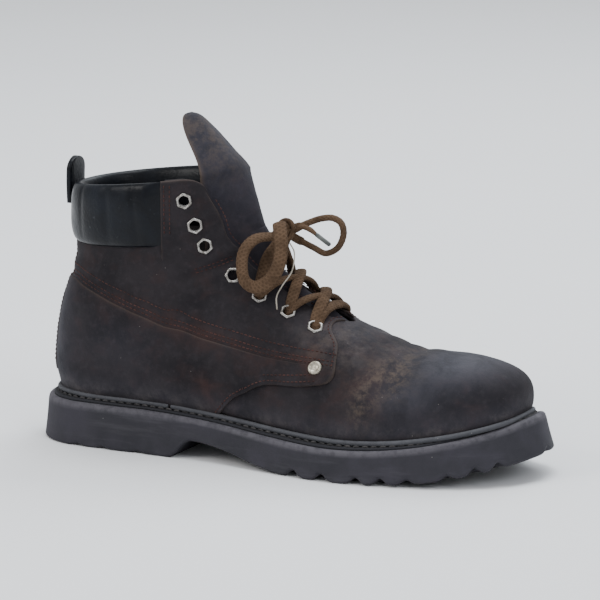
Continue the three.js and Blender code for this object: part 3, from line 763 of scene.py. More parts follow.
# a darker copy of the sole rubber for the welt's ledge: dirt and painted shade
WELT_RUBBER_DIRT_AND_SHADE = sole_rubber("welt_rubber_dirt_and_shade", (0.007, 0.007, 0.01), (0.016, 0.016, 0.021), (0.04, 0.04, 0.046))
BEAD_RUBBER = sole_rubber(
    "bead_rubber", (0.028, 0.0285, 0.034), (0.054, 0.055, 0.062), (0.108, 0.108, 0.118)
)
LACE = braided_lace("braided_lace", (0.05, 0.03, 0.018), (0.125, 0.078, 0.048))
SEAM_THREAD = twisted_thread("seam_thread", (0.03, 0.013, 0.011), (0.075, 0.031, 0.025))
WELT_THREAD = twisted_thread("welt_thread", (0.02, 0.019, 0.02), (0.06, 0.055, 0.055))
FRAYED_THREAD = twisted_thread("frayed_thread", (0.25, 0.22, 0.18), (0.42, 0.38, 0.32))
EYELET_METAL = worn_metal("eyelet_metal", (0.42, 0.4, 0.375), (0.13, 0.115, 0.1), 0.3)
RIVET_METAL = worn_metal("rivet_metal", (0.46, 0.43, 0.35), (0.22, 0.19, 0.15), 0.36)
AGLET_PLASTIC = smooth_leather("aglet_plastic", (0.05, 0.055, 0.053), (0.125, 0.13, 0.12), 3.0)

# ---------- camera ----------

VIEW_AZIMUTH = math.radians(25.17)
VIEW_ELEVATION = math.radians(11.35)
VIEW_ROLL = math.radians(0.55)
VIEW_DISTANCE = 2.159
VIEW_POINT = Vector((-0.00244, -0.00025, 0.07))
VIEW_LENS = 227.0
VIEW_SHIFT_RIGHT = 0.0085
VIEW_SHIFT_UP = 0.019


def make_camera():
    """A long lens at the viewing angle, turned to the middle of the boot, and rolled a little."""
    sin_a, cos_a = math.sin(VIEW_AZIMUTH), math.cos(VIEW_AZIMUTH)
    sin_e, cos_e = math.sin(VIEW_ELEVATION), math.cos(VIEW_ELEVATION)
    back = Vector((sin_a * cos_e, -cos_a * cos_e, sin_e))
    right = Vector((cos_a, sin_a, 0))
    up = back.cross(right)
    camera = placed("camera", bpy.data.cameras.new("camera"))
    camera.data.lens = VIEW_LENS
    camera.data.sensor_width = 36
    camera.data.clip_start = 0.1
    camera.location = VIEW_POINT + back * VIEW_DISTANCE
    aim = VIEW_POINT + right * VIEW_SHIFT_RIGHT + up * VIEW_SHIFT_UP
    turn = (aim - camera.location).to_track_quat("-Z", "Y")
    camera.rotation_mode = "QUATERNION"
    camera.rotation_quaternion = turn @ Quaternion((0, 0, 1), VIEW_ROLL)
    bpy.context.scene.camera = camera


make_camera()

# ---------- the lace ----------

# The bow's routes: a loop that hangs over the outer flap, a loop that stands forward, one end
# inside it, its aglet, and a thread that has come loose.
KNOT = np.array([151.5, -2, 129.5])
NEAR_LOOP = [
    [151.5, -10.5, 134],
    [154, -17, 135.5],
    [157.5, -23, 131],
    [159.5, -26, 123],
    [158.5, -27.5, 114],
    [153.5, -28.5, 105.5],
    [145.5, -29, 101],
    [138.5, -29, 104],
    [136, -28, 113],
    [137, -26, 121.5],
    [141, -20, 127],
    [147, -11, 127.5],
]
FAR_LOOP = [
    [157.5, 3, 132],
    [163, 5, 134.6],
    [169, 7, 136.8],
    [175, 9, 137.3],
    [180, 10, 134.5],
    [181.5, 10, 128],
    [178.5, 9, 120.5],
    [172, 7, 117],
    [165.5, 5, 120],
    [158.5, 3, 123.5],
]
LACE_END = [
    [158.5, -5, 131],
    [163, -6, 133.5],
    [168, -6.5, 132.5],
    [172, -6.5, 130],
]
AGLET = [
    [172.4, -6.5, 129.75],
    [180, -6.5, 125],
]
LOOSE_THREAD = [
    [157, -9, 124],
    [163.5, -17, 120],
    [164.5, -22, 111],
    [160, -24.5, 103],
    [156.5, -25, 96],
    [157, -25.5, 89],
]


def carried_frames(path, flat):
    """For each point of a path: its direction, and a side vector that starts as near as it can to
    flat and is carried along without twist."""
    run = unit(np.gradient(path, axis=0))
    side = np.empty_like(path)
    now = np.asarray(flat, float)
    for i, direction in enumerate(run):
        now = now - (now @ direction) * direction
        now = now / np.linalg.norm(now)
        side[i] = now
    return run, side, np.cross(run, side)


def braid_ribs(rows, sides, length):
    """The braid's relief from 0 to 1: the higher of two sets of squared-cosine ribs that wind round
    the cord in opposite ways."""
    along_it = np.linspace(0, length, rows)[:, None] * np.pi / BRAID_PITCH
    round_it = np.linspace(0, 2 * np.pi, sides, endpoint=False)[None, :] * BRAID_STRANDS / 2
    return np.maximum(np.cos(along_it + round_it) ** 2, np.cos(along_it - round_it) ** 2)


def cord_grid(path, width, thickness, flat, sides=24, relief=0.16):
    """A flat rounded cord: at each point of the path an oval of width by thickness, and at its two
    ends three smaller ovals that round them off. Rows go along it and columns round it, and relief is
    how far the braid's hollows lie below its ribs."""
    length = length_of(path)
    run, side, other = carried_frames(path, flat)
    cap = np.array([0.0, 0.6, 0.86])
    back = path[0] - run[0] * (np.sqrt(1 - cap**2)[:, None]) * thickness / 2
    front = path[-1] + run[-1] * (np.sqrt(1 - cap[::-1] ** 2)[:, None]) * thickness / 2
    size = np.concatenate([cap, np.ones(len(path)), cap[::-1]])[:, None]
    path = np.vstack([back, path, front])
    side = np.vstack([np.repeat(side[:1], 3, 0), side, np.repeat(side[-1:], 3, 0)])
    other = np.vstack([np.repeat(other[:1], 3, 0), other, np.repeat(other[-1:], 3, 0)])
    turn = np.linspace(0, 2 * np.pi, sides, endpoint=False)
    reach = rounded_square(turn, 2.6)
    sunk = relief * (braid_ribs(len(path), sides, length) - 1)
    wide = (size * np.cos(turn) * reach * (width / 2 + sunk))[..., None] * side[:, None, :]
    deep = (size * np.sin(turn) * reach * (thickness / 2 + sunk))[..., None] * other[:, None, :]
    return path[:, None, :] + wide + deep


def cord_map(rows, sides, length):
    """The map of a cord's faces: x is the distance along it in centimetres, y goes once round it."""
    r = np.arange(rows - 1)[:, None] / (rows - 1) * length / 10
    c = np.arange(sides)[None, :] / sides
    step_r, step_c = length / 10 / (rows - 1), 1 / sides
    corners = [(0, 0), (0, step_c), (step_r, step_c), (step_r, 0)]
    return np.stack([np.stack(np.broadcast_arrays(r + i, c + j), -1) for i, j in corners], 2)


def cord_piece(name, grids, material, lengths):
    """One piece from one or more cord grids of the same number of sides."""
    points, faces, maps, ribs, first = [], [], [], [], 0
    for grid, length in zip(grids, lengths):
        rows, sides = grid.shape[:2]
        points.append(grid.reshape(-1, 3))
        faces.append(grid_faces(rows, sides, first, closed=True))
        maps.append(cord_map(rows, sides, length).reshape(-1, 4, 2))
        ribs.append(braid_ribs(rows, sides, length).ravel())
        first += rows * sides
    uv, values = np.concatenate(maps), {"rib": np.concatenate(ribs)}
    return make_piece(name, np.vstack(points), np.vstack(faces), [material], uv=uv, values=values)


def free_cord(name, node, route, count, width, thickness, flat, material, slot, **facts):
    """A free stretch of the lace along its route, its map measured by its own length. A thin one
    has a fainter relief."""
    path = curve(route, count)
    grid = cord_grid(path, width, thickness, flat, relief=0.16 if width > 2 else 0.05)
    piece = cord_piece(name, [grid], material, [length_of(path)])
    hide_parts(node)


def knot_grid(centre, radii, turns):
    """A knot's lump: a ball squashed to its radii, grooved by slanting wraps of lace."""
    theta = np.linspace(0, np.pi, 34)[:, None]
    phi = np.linspace(0, 2 * np.pi, 48, endpoint=False)[None, :]
    wrap = np.abs(np.sin(turns * (phi / 2 + 0.9 * np.cos(theta)) + 0.6))
    swell = 0.8 + 0.24 * wrap**0.6
    x = radii[0] * swell * np.sin(theta) * np.cos(phi)
    y = radii[1] * swell * np.cos(theta) * np.ones_like(phi)
    z = radii[2] * swell * np.sin(theta) * np.sin(phi)
    return centre + np.stack([x, y, z], -1)


def make_knot():
    """The knot: a grooved lump, a wrap of lace drawn across it, and the short hidden lengths that
    join it to the loops."""
    lump = knot_grid(KNOT, (4.6, 6.4, 4.8), 3)
    t = np.linspace(-0.25, 1.25, 70)
    cross = np.stack([
        KNOT[0] + 5.2 * np.cos(np.pi * t - 0.5),
        KNOT[1] + 3.2 * np.sin(2.2 * t - 1.0),
        KNOT[2] + 5.0 * np.sin(np.pi * t - 0.35),
    ], -1)
    joins = [
        [NEAR_LOOP[0], KNOT + (0, -5, 2.5), KNOT],
        [NEAR_LOOP[-1], KNOT + (-2, -5, 0), KNOT],
        [FAR_LOOP[0], KNOT + (3, 3, 1.5), KNOT],
        [FAR_LOOP[-1], KNOT + (3.5, 3.5, -4), KNOT + (0, 1, -1)],
    ]
    grids = [cord_grid(cross, LACE_WIDTH * 0.9, LACE_THICKNESS * 0.8, (0, 1, 0.1))]
    for join in joins:
        grids.append(cord_grid(curve(join, 30), LACE_WIDTH * 0.72, LACE_THICKNESS * 0.95, (0, 0.4, 1)))
    piece = cord_piece("lace_knot_wraps", [lump, *grids], LACE, [20.0] + [16.0] * len(grids))
    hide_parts("lace_knot")
    return piece


def make_bow():
    """The knot, its two loops, its free end with the aglet, and the thread that has come loose. The
    free end narrows toward the aglet by shares of its width along its rows."""
    knot = make_knot()
    free_cord(
        "lace_near_loop", "lace_loop_near", NEAR_LOOP, 300, LACE_WIDTH * 1.15, LACE_THICKNESS,
        (1, 0, 0.3), LACE, "lace", far_end="object", stiffness="limp", lay="hanging", with_pieces=[knot],
    )
    free_cord(
        "lace_far_loop", "lace_loop_far", FAR_LOOP, 170, LACE_WIDTH * 0.75, LACE_THICKNESS,
        (0, 1, 0.2), LACE, "lace", far_end="object", stiffness="medium", lay="loose",
    )
    tip = curve(AGLET, 12)
    aglet_grid = cord_grid(tip, 2.5, 2.3, (0, 1, 0), relief=0)
    aglet = cord_piece("lace_tip", [aglet_grid], AGLET_PLASTIC, [length_of(tip)])
    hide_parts("lace_aglet")
    route = [KNOT - (1, 0.5, 0.5), *LACE_END, AGLET[1] - np.array([0.8, 0, -0.5])]
    end = curve(route, 88)
    width = np.interp(np.arange(88), [0, 52, 68, 87], [1.0, 0.85, 0.48, 0.4])
    grid = cord_grid(end, LACE_END_WIDTH, 3.2, (0, 1, 0))
    grid[3:-3] = end[:, None, :] + (grid[3:-3] - end[:, None, :]) * width[:, None, None]
    grid[-3:] = end[-1] + (grid[-3:] - end[-1]) * 0.4
    piece = cord_piece("lace_free_end", [grid], LACE, [length_of(end)])
    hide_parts("lace_end")
    free_cord(
        "lace_loose_thread", "lace_thread", LOOSE_THREAD, 70, 0.8, 0.7, (0, 1, 0), FRAYED_THREAD, "thread",
        far_end="bare", stiffness="limp", lay="hanging",
    )


def lace_strand(start, stop, sag, seed):
    """A strand from one eyelet to another: out of the first hole, in a low arch over the flaps and the
    throat, and into the second. Each end is (section, angle)."""
    t = np.linspace(0, 1, 9)
    u = start[0] + (stop[0] - start[0]) * t
    a = start[1] + (stop[1] - start[1]) * t
    lift = np.array([-3.0, 1.7, 3.0, 3.0, 2.7, 3.0, 3.0, 1.7, -3.0]) + sag * np.sin(np.pi * t) ** 2
    u = u + 0.05 * np.sin(2 * np.pi * t + seed)
    return above(u, a + 1e-4, lift)


def make_crossings():
    """The laced part: strands between the lower three pairs of eyelets and two up to the knot."""
    five, six, seven = [EYELETS[i] for i in LACED]
    outer_five, outer_six, outer_seven = [(u, -a) for u, a in (five, six, seven)]
    runs = [
        (outer_seven, seven, -0.6),
        (seven, outer_six, 0.4),
        (outer_seven, six, 2.0),
        (six, outer_five, 0.5),
        (outer_six, five, 2.1),
    ]
    grids, lengths = [], []
    for i, (start, stop, sag) in enumerate(runs):
        path = curve(lace_strand(start, stop, sag, i), 130)
        flat = outward(*start) * 0.2 + (1, 0, -1)
        grids.append(cord_grid(path, LACE_WIDTH, LACE_THICKNESS, flat))
        lengths.append(length_of(path))
    u, a = five
    stops = [(u, a, -3), (u + 0.1, a - 0.03, 2.6), (13.0, 0.46, 6.0), (14.2, 0.26, 8.2), (15.2, 0.1, 10.4)]
    for side in SIDES.values():
        rise = np.array([above(s, side * b + 1e-4, h) for s, b, h in stops] + [KNOT - (1, -side * 2, 3)])
        path = curve(rise, 120)
        grids.append(cord_grid(path, LACE_WIDTH, LACE_THICKNESS, (1, 0, 0.5)))
        lengths.append(length_of(path))
    piece = cord_piece("lace_strands", grids, LACE, lengths)
    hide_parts("lace_crossings")


make_bow()
make_crossings()

# ---------- the upper ----------


def wear_values(points):
    """Where leather is rubbed, scuffed, redder and dusty, and where it gets painted sheen and painted
    shade, as bells round places on the boot, in x and z and in height over the rim. Rubbing with a
    painted blue-grey sheen lies on the toe, the heel and low down, scuffs and dust at the flex of the
    vamp, redness along the seams, dust along the welt, and painted shade where the upper meets it."""
    x, z = points[..., 0], points[..., 2]
    over = z - rim_height(x)

    def spot(at_x, wide, at_z, tall):
        """A bell in x times a bell in z."""
        return bell(x - at_x, wide) * bell(z - at_z, tall)

    back = 0.75 * bell(x - 12, 16) * share(z, 22, 50) * share(z, 118, 90)
    toe = spot(262, 30, 66, 13) + 0.7 * spot(240, 20, 47, 10)
    # rubbed smooth places, which the nubuck paints with a blue-grey sheen
    wear_and_painted_sheen = toe + 0.5 * spot(200, 24, 80, 10) + back + 0.35 * spot(60, 26, 60, 18) + 0.4 * bell(over - 9, 7)
    scuff = spot(229, 11, 58, 10) + 0.8 * spot(217, 8, 44, 16) + 0.35 * spot(190, 22, 72, 14)
    seam = np.interp(x, [29, 70, 97, 127, 158, 176], [95, 81.5, 74.5, 67.5, 62.5, 60.5])
    band = 0.55 * bell(z - seam - 1, 6.5) * share(x, 40, 70) * share(x, 190, 172)
    tail = 0.6 * bell(x - 124 + 0.5 * (z - 32), 9) * share(z, 56, 44)
    front = 0.6 * bell(x - 184, 6) * share(z, 52, 60) * share(z, 92, 84)
    redness = 0.55 * spot(212, 16, 52, 14) + band + tail + front
    return {
        "wear_and_painted_sheen": 0.6 * np.clip(wear_and_painted_sheen, 0, 1),
        "scuff": 0.75 * np.clip(scuff, 0, 1),
        "redness": np.clip(redness, 0, 1),
        # painted shade: a near-black band just above the welt bead
        "dark": 0.55 * bell(over - 4, 2.4),
        "dust": 0.3 * bell(over - 6, 6) + 0.42 * spot(202, 26, 76, 14),
    }


def both_faces(wear, edge):
    """A sheet's wear and raw edge, laid out for the points of its outer and then its inner grid."""
    return {key: np.concatenate([v.ravel(), v.ravel()]) for key, v in {**wear, "edge": edge}.items()}


def base_top(a):
    """The section number at which the base shell ends: the flap's top in front, and inside the collar
    behind."""
    return TOP - 0.8 * smooth(share(np.abs(a), 1.16, 1.34))


def make_base_shell():
    """The vamp layer and the lining as one hollow wall, in two halves of a grid. Rows go from the toe
    to the top, and columns from the throat or the front line down to the sole or round to the back."""
    rows, columns = 226, 84
    u = TOP * np.linspace(0, 1, rows) ** 0.94
    u[0] = 0.001
    t = np.linspace(0, 1, columns)
    start = throat_angle(u, 0.5)
    stop = lowest_angle(u, -1.5)
    points, faces, kinds, values, first = [], [], [], [], 0
    for side in SIDES.values():
        angle = start[:, None] + (stop - start)[:, None] * t[None, :]
        section = np.broadcast_to(u[:, None], angle.shape)
        section = np.where(section > 20, 20 + (section - 20) * (base_top(angle) - 20) / (TOP - 20), section)
        height = base_height(section, side * angle)
        outer = above(section, side * angle, height)
        thin = np.minimum(WALL, 0.4 + 20 * share(u, 0, 3))[:, None]
        inner = above(section, side * angle, np.minimum(height, 0) - thin)
        throat_steps = (u[1:] > THROAT_START)[::-1]
        sole_steps = (stop[1:] < np.pi - 1e-6)
        p, f, k = thick_sheet(outer, inner, [("left", throat_steps), ("right", sole_steps), "last"])
        points.append(p)
        faces.append(f + first)
        kinds.append(k)
        first += len(p)
        wear = wear_values(outer)
        values.append({key: np.concatenate([v.ravel(), 0 * v.ravel()]) for key, v in wear.items()})
    points, faces, kinds = np.vstack(points), np.vstack(faces), np.concatenate(kinds)
    faces, kinds = punched(points, faces, kinds)
    values = {key: np.concatenate([v[key] for v in values]) for key in values[0]}
    lined = (kinds == 1).astype(int)
    piece = make_piece("upper_shell", points, faces, [LEATHER, LINING], lined, values=values)
    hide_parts("upper")


def border(points):
    """A panel's border through given (section, angle) points, and the share of its length on the
    last that each of its fine steps has come to."""
    fine = along(np.asarray(points, float), np.linspace(0, len(points) - 1, 60 * len(points)))
    place = on_last(np.clip(fine[:, 0], 0.01, TOP), fine[:, 1])
    run = run_along(place)
    return fine, run / run[-1]


def border_at(measured, t):
    """The (section, angle) places on a measured border at shares of its length."""
    fine, run = measured
    return np.stack([np.interp(t, run, fine[:, 0]), np.interp(t, run, fine[:, 1])], -1)


def edge_steps(count, near):
    """Steps from 0 to 1 with two extra close to each end, for a panel's rounded edge."""
    inside = np.linspace(near * 3, 1 - near * 3, count - 6)
    return np.concatenate([[0, near * 0.45, near * 1.4], inside, [1 - near * 1.4, 1 - near * 0.45, 1]])


def panel_grid(north, south, west, east, rows, columns, near):
    """A panel's (section, angle) grid blended from its four borders: the straight blend of north and
    south, plus that of west and east, less the blend of the four corners."""
    s = edge_steps(columns, near[0])
    t = edge_steps(rows, near[1])
    n, o = border_at(north, s)[None], border_at(south, s)[None]
    w, e = border_at(west, t)[:, None], border_at(east, t)[:, None]
    s, t = s[None, :, None], t[:, None, None]
    corners = (1 - s) * (1 - t) * n[:, :1] + s * (1 - t) * n[:, -1:]
    corners = corners + (1 - s) * t * o[:, :1] + s * t * o[:, -1:]
    grid = (1 - t) * n + t * o + (1 - s) * w + s * e - corners
    return np.clip(grid[..., 0], 0.02, TOP), grid[..., 1]


ROUNDED_EDGE = (0.35, 0.82, 1.0)
RAW_EDGE = (0.0, 0.35, 0.85)


def edge_profile(rows, columns, profile):
    """How much of its thickness a panel keeps near its border: the profile's shares over its outermost
    three lines, and all of it inside."""

    def line(n):
        """The shares over one line of n points."""
        keep = np.ones(n)
        keep[:3] = profile
        keep[-3:] = profile[::-1]
        return keep

    return np.minimum(line(rows)[:, None], line(columns)[None, :])


def flap_rise(place):
    """How far a flap stands out of its quarter: all the way beside the collar, and fading to nothing
    in front of that and below it, where the two are one piece of leather."""
    return smooth(share(place[..., 0], 121, 98)) * smooth(share(place[..., 2], 108, 119))


def make_panel(
    name, side, borders, rows, columns, near, lift, under, punch=False, faded=False, open_back=False
):
    """A panel of leather over the base shell: a closed sheet with rounded edges that follows the
    shell's folds. A faded one rises out of the panel below it, so only its far edge shows. One with
    an open back has no edge there, because it meets its mirror image."""
    measured = [border(line) for line in borders]
    section, angle = panel_grid(*measured, rows, columns, near)
    base = base_height(section, side * angle)
    keep = edge_profile(rows, columns, ROUNDED_EDGE)
    raw = share(1 - edge_profile(rows, columns, RAW_EDGE), 0, 1)
    strips = ["first", "last", "left"]
    if open_back:
        keep[3:-3, -3:] = 1
        raw[3:-3, -3:] = 0
    else:
        strips.append("right")
    if faded:
        base = base + (under - lift) * (1 - flap_rise(on_last(section, angle)))
    outer = above(section, side * angle, base + lift * keep + under * (1 - keep))
    inner = above(section, side * angle, base + under)
    points, faces, kinds = thick_sheet(outer, inner, strips)
    if punch:
        faces, kinds = punched(points, faces, kinds)
    values = both_faces(wear_values(outer), 0.4 * raw)
    piece = make_piece(name, points, faces, [LEATHER], values=values)
    return piece


def throat_line(low, high, count, extra=0.0):
    """The throat's edge as (section, angle) rows from one section to another."""
    u = np.linspace(low, high, count)
    return np.stack([u, throat_angle(u, extra)], -1)


# The seam lines, as (section, angle) on either side.
COUNTER_TOP = [
    (8.49, 0.9),
    (9.2, 0.97),
    (9.9, 1.05),
    (10.85, 1.14),
    (11.99, 1.22),
    (13.23, 1.284),
    (14.81, 1.31),
    (16.13, 1.48),
    (17.43, 1.82),
    (18.44, 2.24),
    (18.82, 2.54),
    (18.95, np.pi),
]
TAIL_EDGE = [(8.84, 1.15), (9.69, 1.29), (10.66, 1.43), (11.27, 1.71), (11.58, 2.15)]
ANKLE_STITCHES = [(17.45, 1.0), (17.35, 0.82), (17.35, 0.66), (17.45, 0.5)]
QUARTER_FRONT = [(9.36, 0.26), (9.28, 0.42), (8.8, 0.58), (8.58, 0.78), (8.44, 0.97), (8.56, 1.08)]
UNDER_COUNTER = [
    (10.66, 1.36),
    (12.48, 1.43),
    (14.6, 1.5),
    (16.2, 1.74),
    (17.6, 2.24),
    (18.15, 2.62),
    (18.35, np.pi),
]
FLAP_TOP = [(22.72, 0.72), (22.92, 0.82), (22.99, 0.95)]
FLAP_FOOT = [(15.6, 0.66), (16.4, 0.76), (16.95, 0.9), (17.1, 1.08), (17.6, 1.22)]


def quarter_borders():
    """The quarter: the throat, its flap's top and the line under the collar; the line under the
    counter; the front edge; and the back."""
    north = [tuple(p) for p in throat_line(9.14, 22.35, 40)]
    front = [tuple(north[0]), *QUARTER_FRONT, TAIL_EDGE[0]]
    north += [*FLAP_TOP, (22.99, 1.15), (22.3, 1.4), (21.9, 1.8), (21.8, 2.4), (21.8, np.pi)]
    back = [(21.8, np.pi), (20.0, np.pi), (18.35, np.pi)]
    return north, [*TAIL_EDGE[:2], *UNDER_COUNTER], front, back


def counter_borders():
    """The counter: its top seam, the welt line under it, the tail's round front end and the back."""
    u = np.linspace(11.7, 14.6, 12)
    welt = np.stack([u, lowest_angle(u, 1.0)], -1)
    angles = np.linspace(welt[-1, 1] + 0.05, np.pi, 14)
    heel = solve(lambda v: -over_rim(v, angles, 1.0), np.full(14, 13.0), np.full(14, 17.5))
    south = [*TAIL_EDGE, *map(tuple, welt), *zip(heel, angles)]
    west = [COUNTER_TOP[0], (8.45, 0.97), (8.57, 1.08), TAIL_EDGE[0]]
    east = [COUNTER_TOP[-1], (17.8, np.pi), (16.8, np.pi), south[-1]]
    return COUNTER_TOP, south, west, east


def flap_borders():
    """The flap over the collar's end: the throat, the rear edge straight up at the collar's front, the
    foot and the top."""
    north = throat_line(15.3, 22.35, 24, -0.3)
    rear_u = np.linspace(18.6, 22.99, 8)
    rear = [tuple(p) for p in np.stack([rear_u, angle_at(rear_u, COLLAR_FRONT)], -1)]
    west = [tuple(north[0]), *FLAP_FOOT, rear[0]]
    return north, rear, west, [tuple(north[-1]), *FLAP_TOP, rear[-1]]


def make_panels():
    """The quarter, the counter and the flap on each side, each as a sheet a little above the last."""
    for name, side in SIDES.items():
        make_panel(
            f"quarter_{name}", side, quarter_borders(), 96, 190, (0.004, 0.009), QUARTER_LIFT, 0.05,
            punch=True, open_back=True,
        )
        counter = make_panel(
            f"counter_{name}", side, counter_borders(), 72, 170, (0.0035, 0.01), COUNTER_LIFT, 0.1,
            open_back=True,
        )
        if name == "outer":
            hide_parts("heel_counter")
        make_panel(
            f"flap_{name}", side, flap_borders(), 56, 70, (0.01, 0.012), FLAP_LIFT, FLAP_UNDERSIDE,
            punch=True, faded=True,
        )


def backstay_half(u):
    """The backstay's half width as an angle, wider at its foot."""
    return 0.36 + 0.1 * smooth(share(u, 18, 16))


def backstay_step(u):
    """The thickness of the leather under the backstay: the counter's, and above it the quarter's."""
    return QUARTER_LIFT + (COUNTER_LIFT - QUARTER_LIFT) * smooth(share(u, 19.05, 18.8))


def make_backstay():
    """The strip up the back of the heel: across it the angle swings through half a turn, and it steps
    down where the counter under it ends."""
    rows, columns = 120, 30
    u = np.concatenate([[16.02, 16.03], np.linspace(16.06, 21.25, rows - 4), [21.28, 21.3]])
    t = np.concatenate([[-1, -0.985, -0.95], np.linspace(-0.9, 0.9, columns - 6), [0.95, 0.985, 1]])
    angle = np.pi + backstay_half(u)[:, None] * t[None, :]
    section = np.broadcast_to(u[:, None], angle.shape)
    base = base_height(section, angle)
    step = backstay_step(section)
    keep = edge_profile(rows, columns, ROUNDED_EDGE)
    outer = above(section, angle, base + step * 0.6 + (step * 0.4 + 0.6) * keep)
    inner = above(section, angle, base + 0.6 * step)
    points, faces, _ = thick_sheet(outer, inner)
    raw = share(1 - edge_profile(rows, columns, RAW_EDGE), 0, 1)
    values = both_faces(wear_values(outer), 0.3 * raw)
    piece = make_piece("backstay", points, faces, [LEATHER], values=values)


make_base_shell()
make_panels()
make_backstay()

# ---------- collar, pull tab and tongue ----------


# Upright folds in the collar: angle, half width as an angle, and depth.
COLLAR_FOLDS = [
    (1.52, 0.035, 0.7),
    (1.9, 0.05, 0.9),
    (2.35, 0.04, 0.6),
    (2.8, 0.06, 0.9),
    (3.5, 0.06, 0.8),
    (4.0, 0.04, 0.6),
    (4.4, 0.05, 0.9),
    (4.75, 0.035, 0.7),
]


def collar_grid():
    """The padded collar: a rounded band swept from one flap round the back to the other. Rows go round
    the ankle, columns round the pad. It thins out under the flaps and has soft upright folds."""
    rows, around = 260, 44
    a = np.linspace(COLLAR_END_ANGLE, 2 * np.pi - COLLAR_END_ANGLE, rows)[:, None]
    turned = np.where(a > np.pi, a - 2 * np.pi, a)
    to_back = share(np.abs(turned), 1.2, np.pi)
    low = TOP * (0.884 + 0.036 * to_back)
    t = np.linspace(0, 2 * np.pi, around, endpoint=False)[None, :]
    reach = rounded_square(t, 2.5)
    u = (low + TOP - 0.03) / 2 + ((TOP - 0.03 - low) / 2) * reach * np.cos(t)
    u = np.clip(u, 0.1, TOP)
    place = on_last(u, np.broadcast_to(turned, u.shape))
    end = smooth(share(place[..., 0], COLLAR_FRONT + 1, COLLAR_FRONT - 10))
    bulk = 0.9 + 3.7 * end
    folds = sum(bell(a - at, wide) * deep for at, wide, deep in COLLAR_FOLDS)
    outside = np.clip(np.sin(t), 0, 1)
    dip = folds * outside * (0.55 + 0.45 * np.cos(t))
    height = -0.4 + bulk * reach * np.sin(t) - dip + 0.3 * ripple(place, 22, 11) * end
    return above(u, np.broadcast_to(turned, u.shape), height)


def make_collar():
    """The padded collar, closed at both ends under the flaps."""
    piece = ring_piece("padded_collar", closed_ends(collar_grid()), COLLAR_LEATHER)
    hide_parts("collar")


def make_back_tab():
    """The tab at the top of the back: a rounded strip folded over, about 18 wide and 3 thick."""
    rows, columns = 40, 20
    t = np.linspace(0, 1, rows)[:, None]
    s = np.linspace(-1, 1, columns)[None, :]
    height = 136.0 + 26.6 * t
    round_top = np.sqrt(np.clip(1 - share(t, 0.72, 1.0) ** 2, 0.02, 1))
    y = 8.8 * s * round_top
    bulge = 0.5 * np.sin(np.pi * t)
    edge = 1 - np.abs(s) ** 6
    outer = np.stack(np.broadcast_arrays(13.9 - bulge - 0.5 * edge, y, height), -1)
    inner = np.stack(np.broadcast_arrays(16.6 - bulge + 0.3 * edge, y, height), -1)
    points, faces, _ = thick_sheet(outer, inner)
    piece = make_piece("pull_tab", points, faces, [COLLAR_LEATHER])
    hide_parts("back_tab")


# The tongue: section number, height of the middle above the last, reach to each side as an angle.
TONGUE_LIE = np.array([
    [8.2, -3.6, 0.5],
    [9.4, -2.4, 0.6],
    [10, -1.2, 0.62],
    [12, 0.0, 0.72],
    [13.2, 1.2, 0.76],
    [14.5, 3.4, 0.8],
    [16, 6.4, 0.84],
    [18.5, 9, 0.88],
    [21, 7.8, 0.87],
    [23, 4.4, 0.82],
])
TONGUE_START = 8.2
TONGUE_THICKNESS = 3.0
# The free end's outline above the collar, seen from the front: y and height up to its tip, which the
# wearer has pulled up on the outer side.
TONGUE_TIP = [-6, 32.8]
TONGUE_OUTER_EDGE = [[-27, 0], [-26, 6], [-23.6, 15], [-20.4, 23.4], [-17, 29], [-12.8, 32], TONGUE_TIP]
TONGUE_INNER_EDGE = [
    [27, 0],
    [26.1, 1.9],
    [23.9, 5],
    [20.6, 9.6],
    [18, 15.6],
    [14, 22.8],
    [6, 30],
    TONGUE_TIP,
]
TONGUE_FULL = 54  # the width of the last's top row of the tongue, which its free end narrows from
TONGUE_LEAN = 23.5  # how far back its tip leans
TONGUE_TUCK = 0.11  # how much narrower its outer half is at the top, as an angle


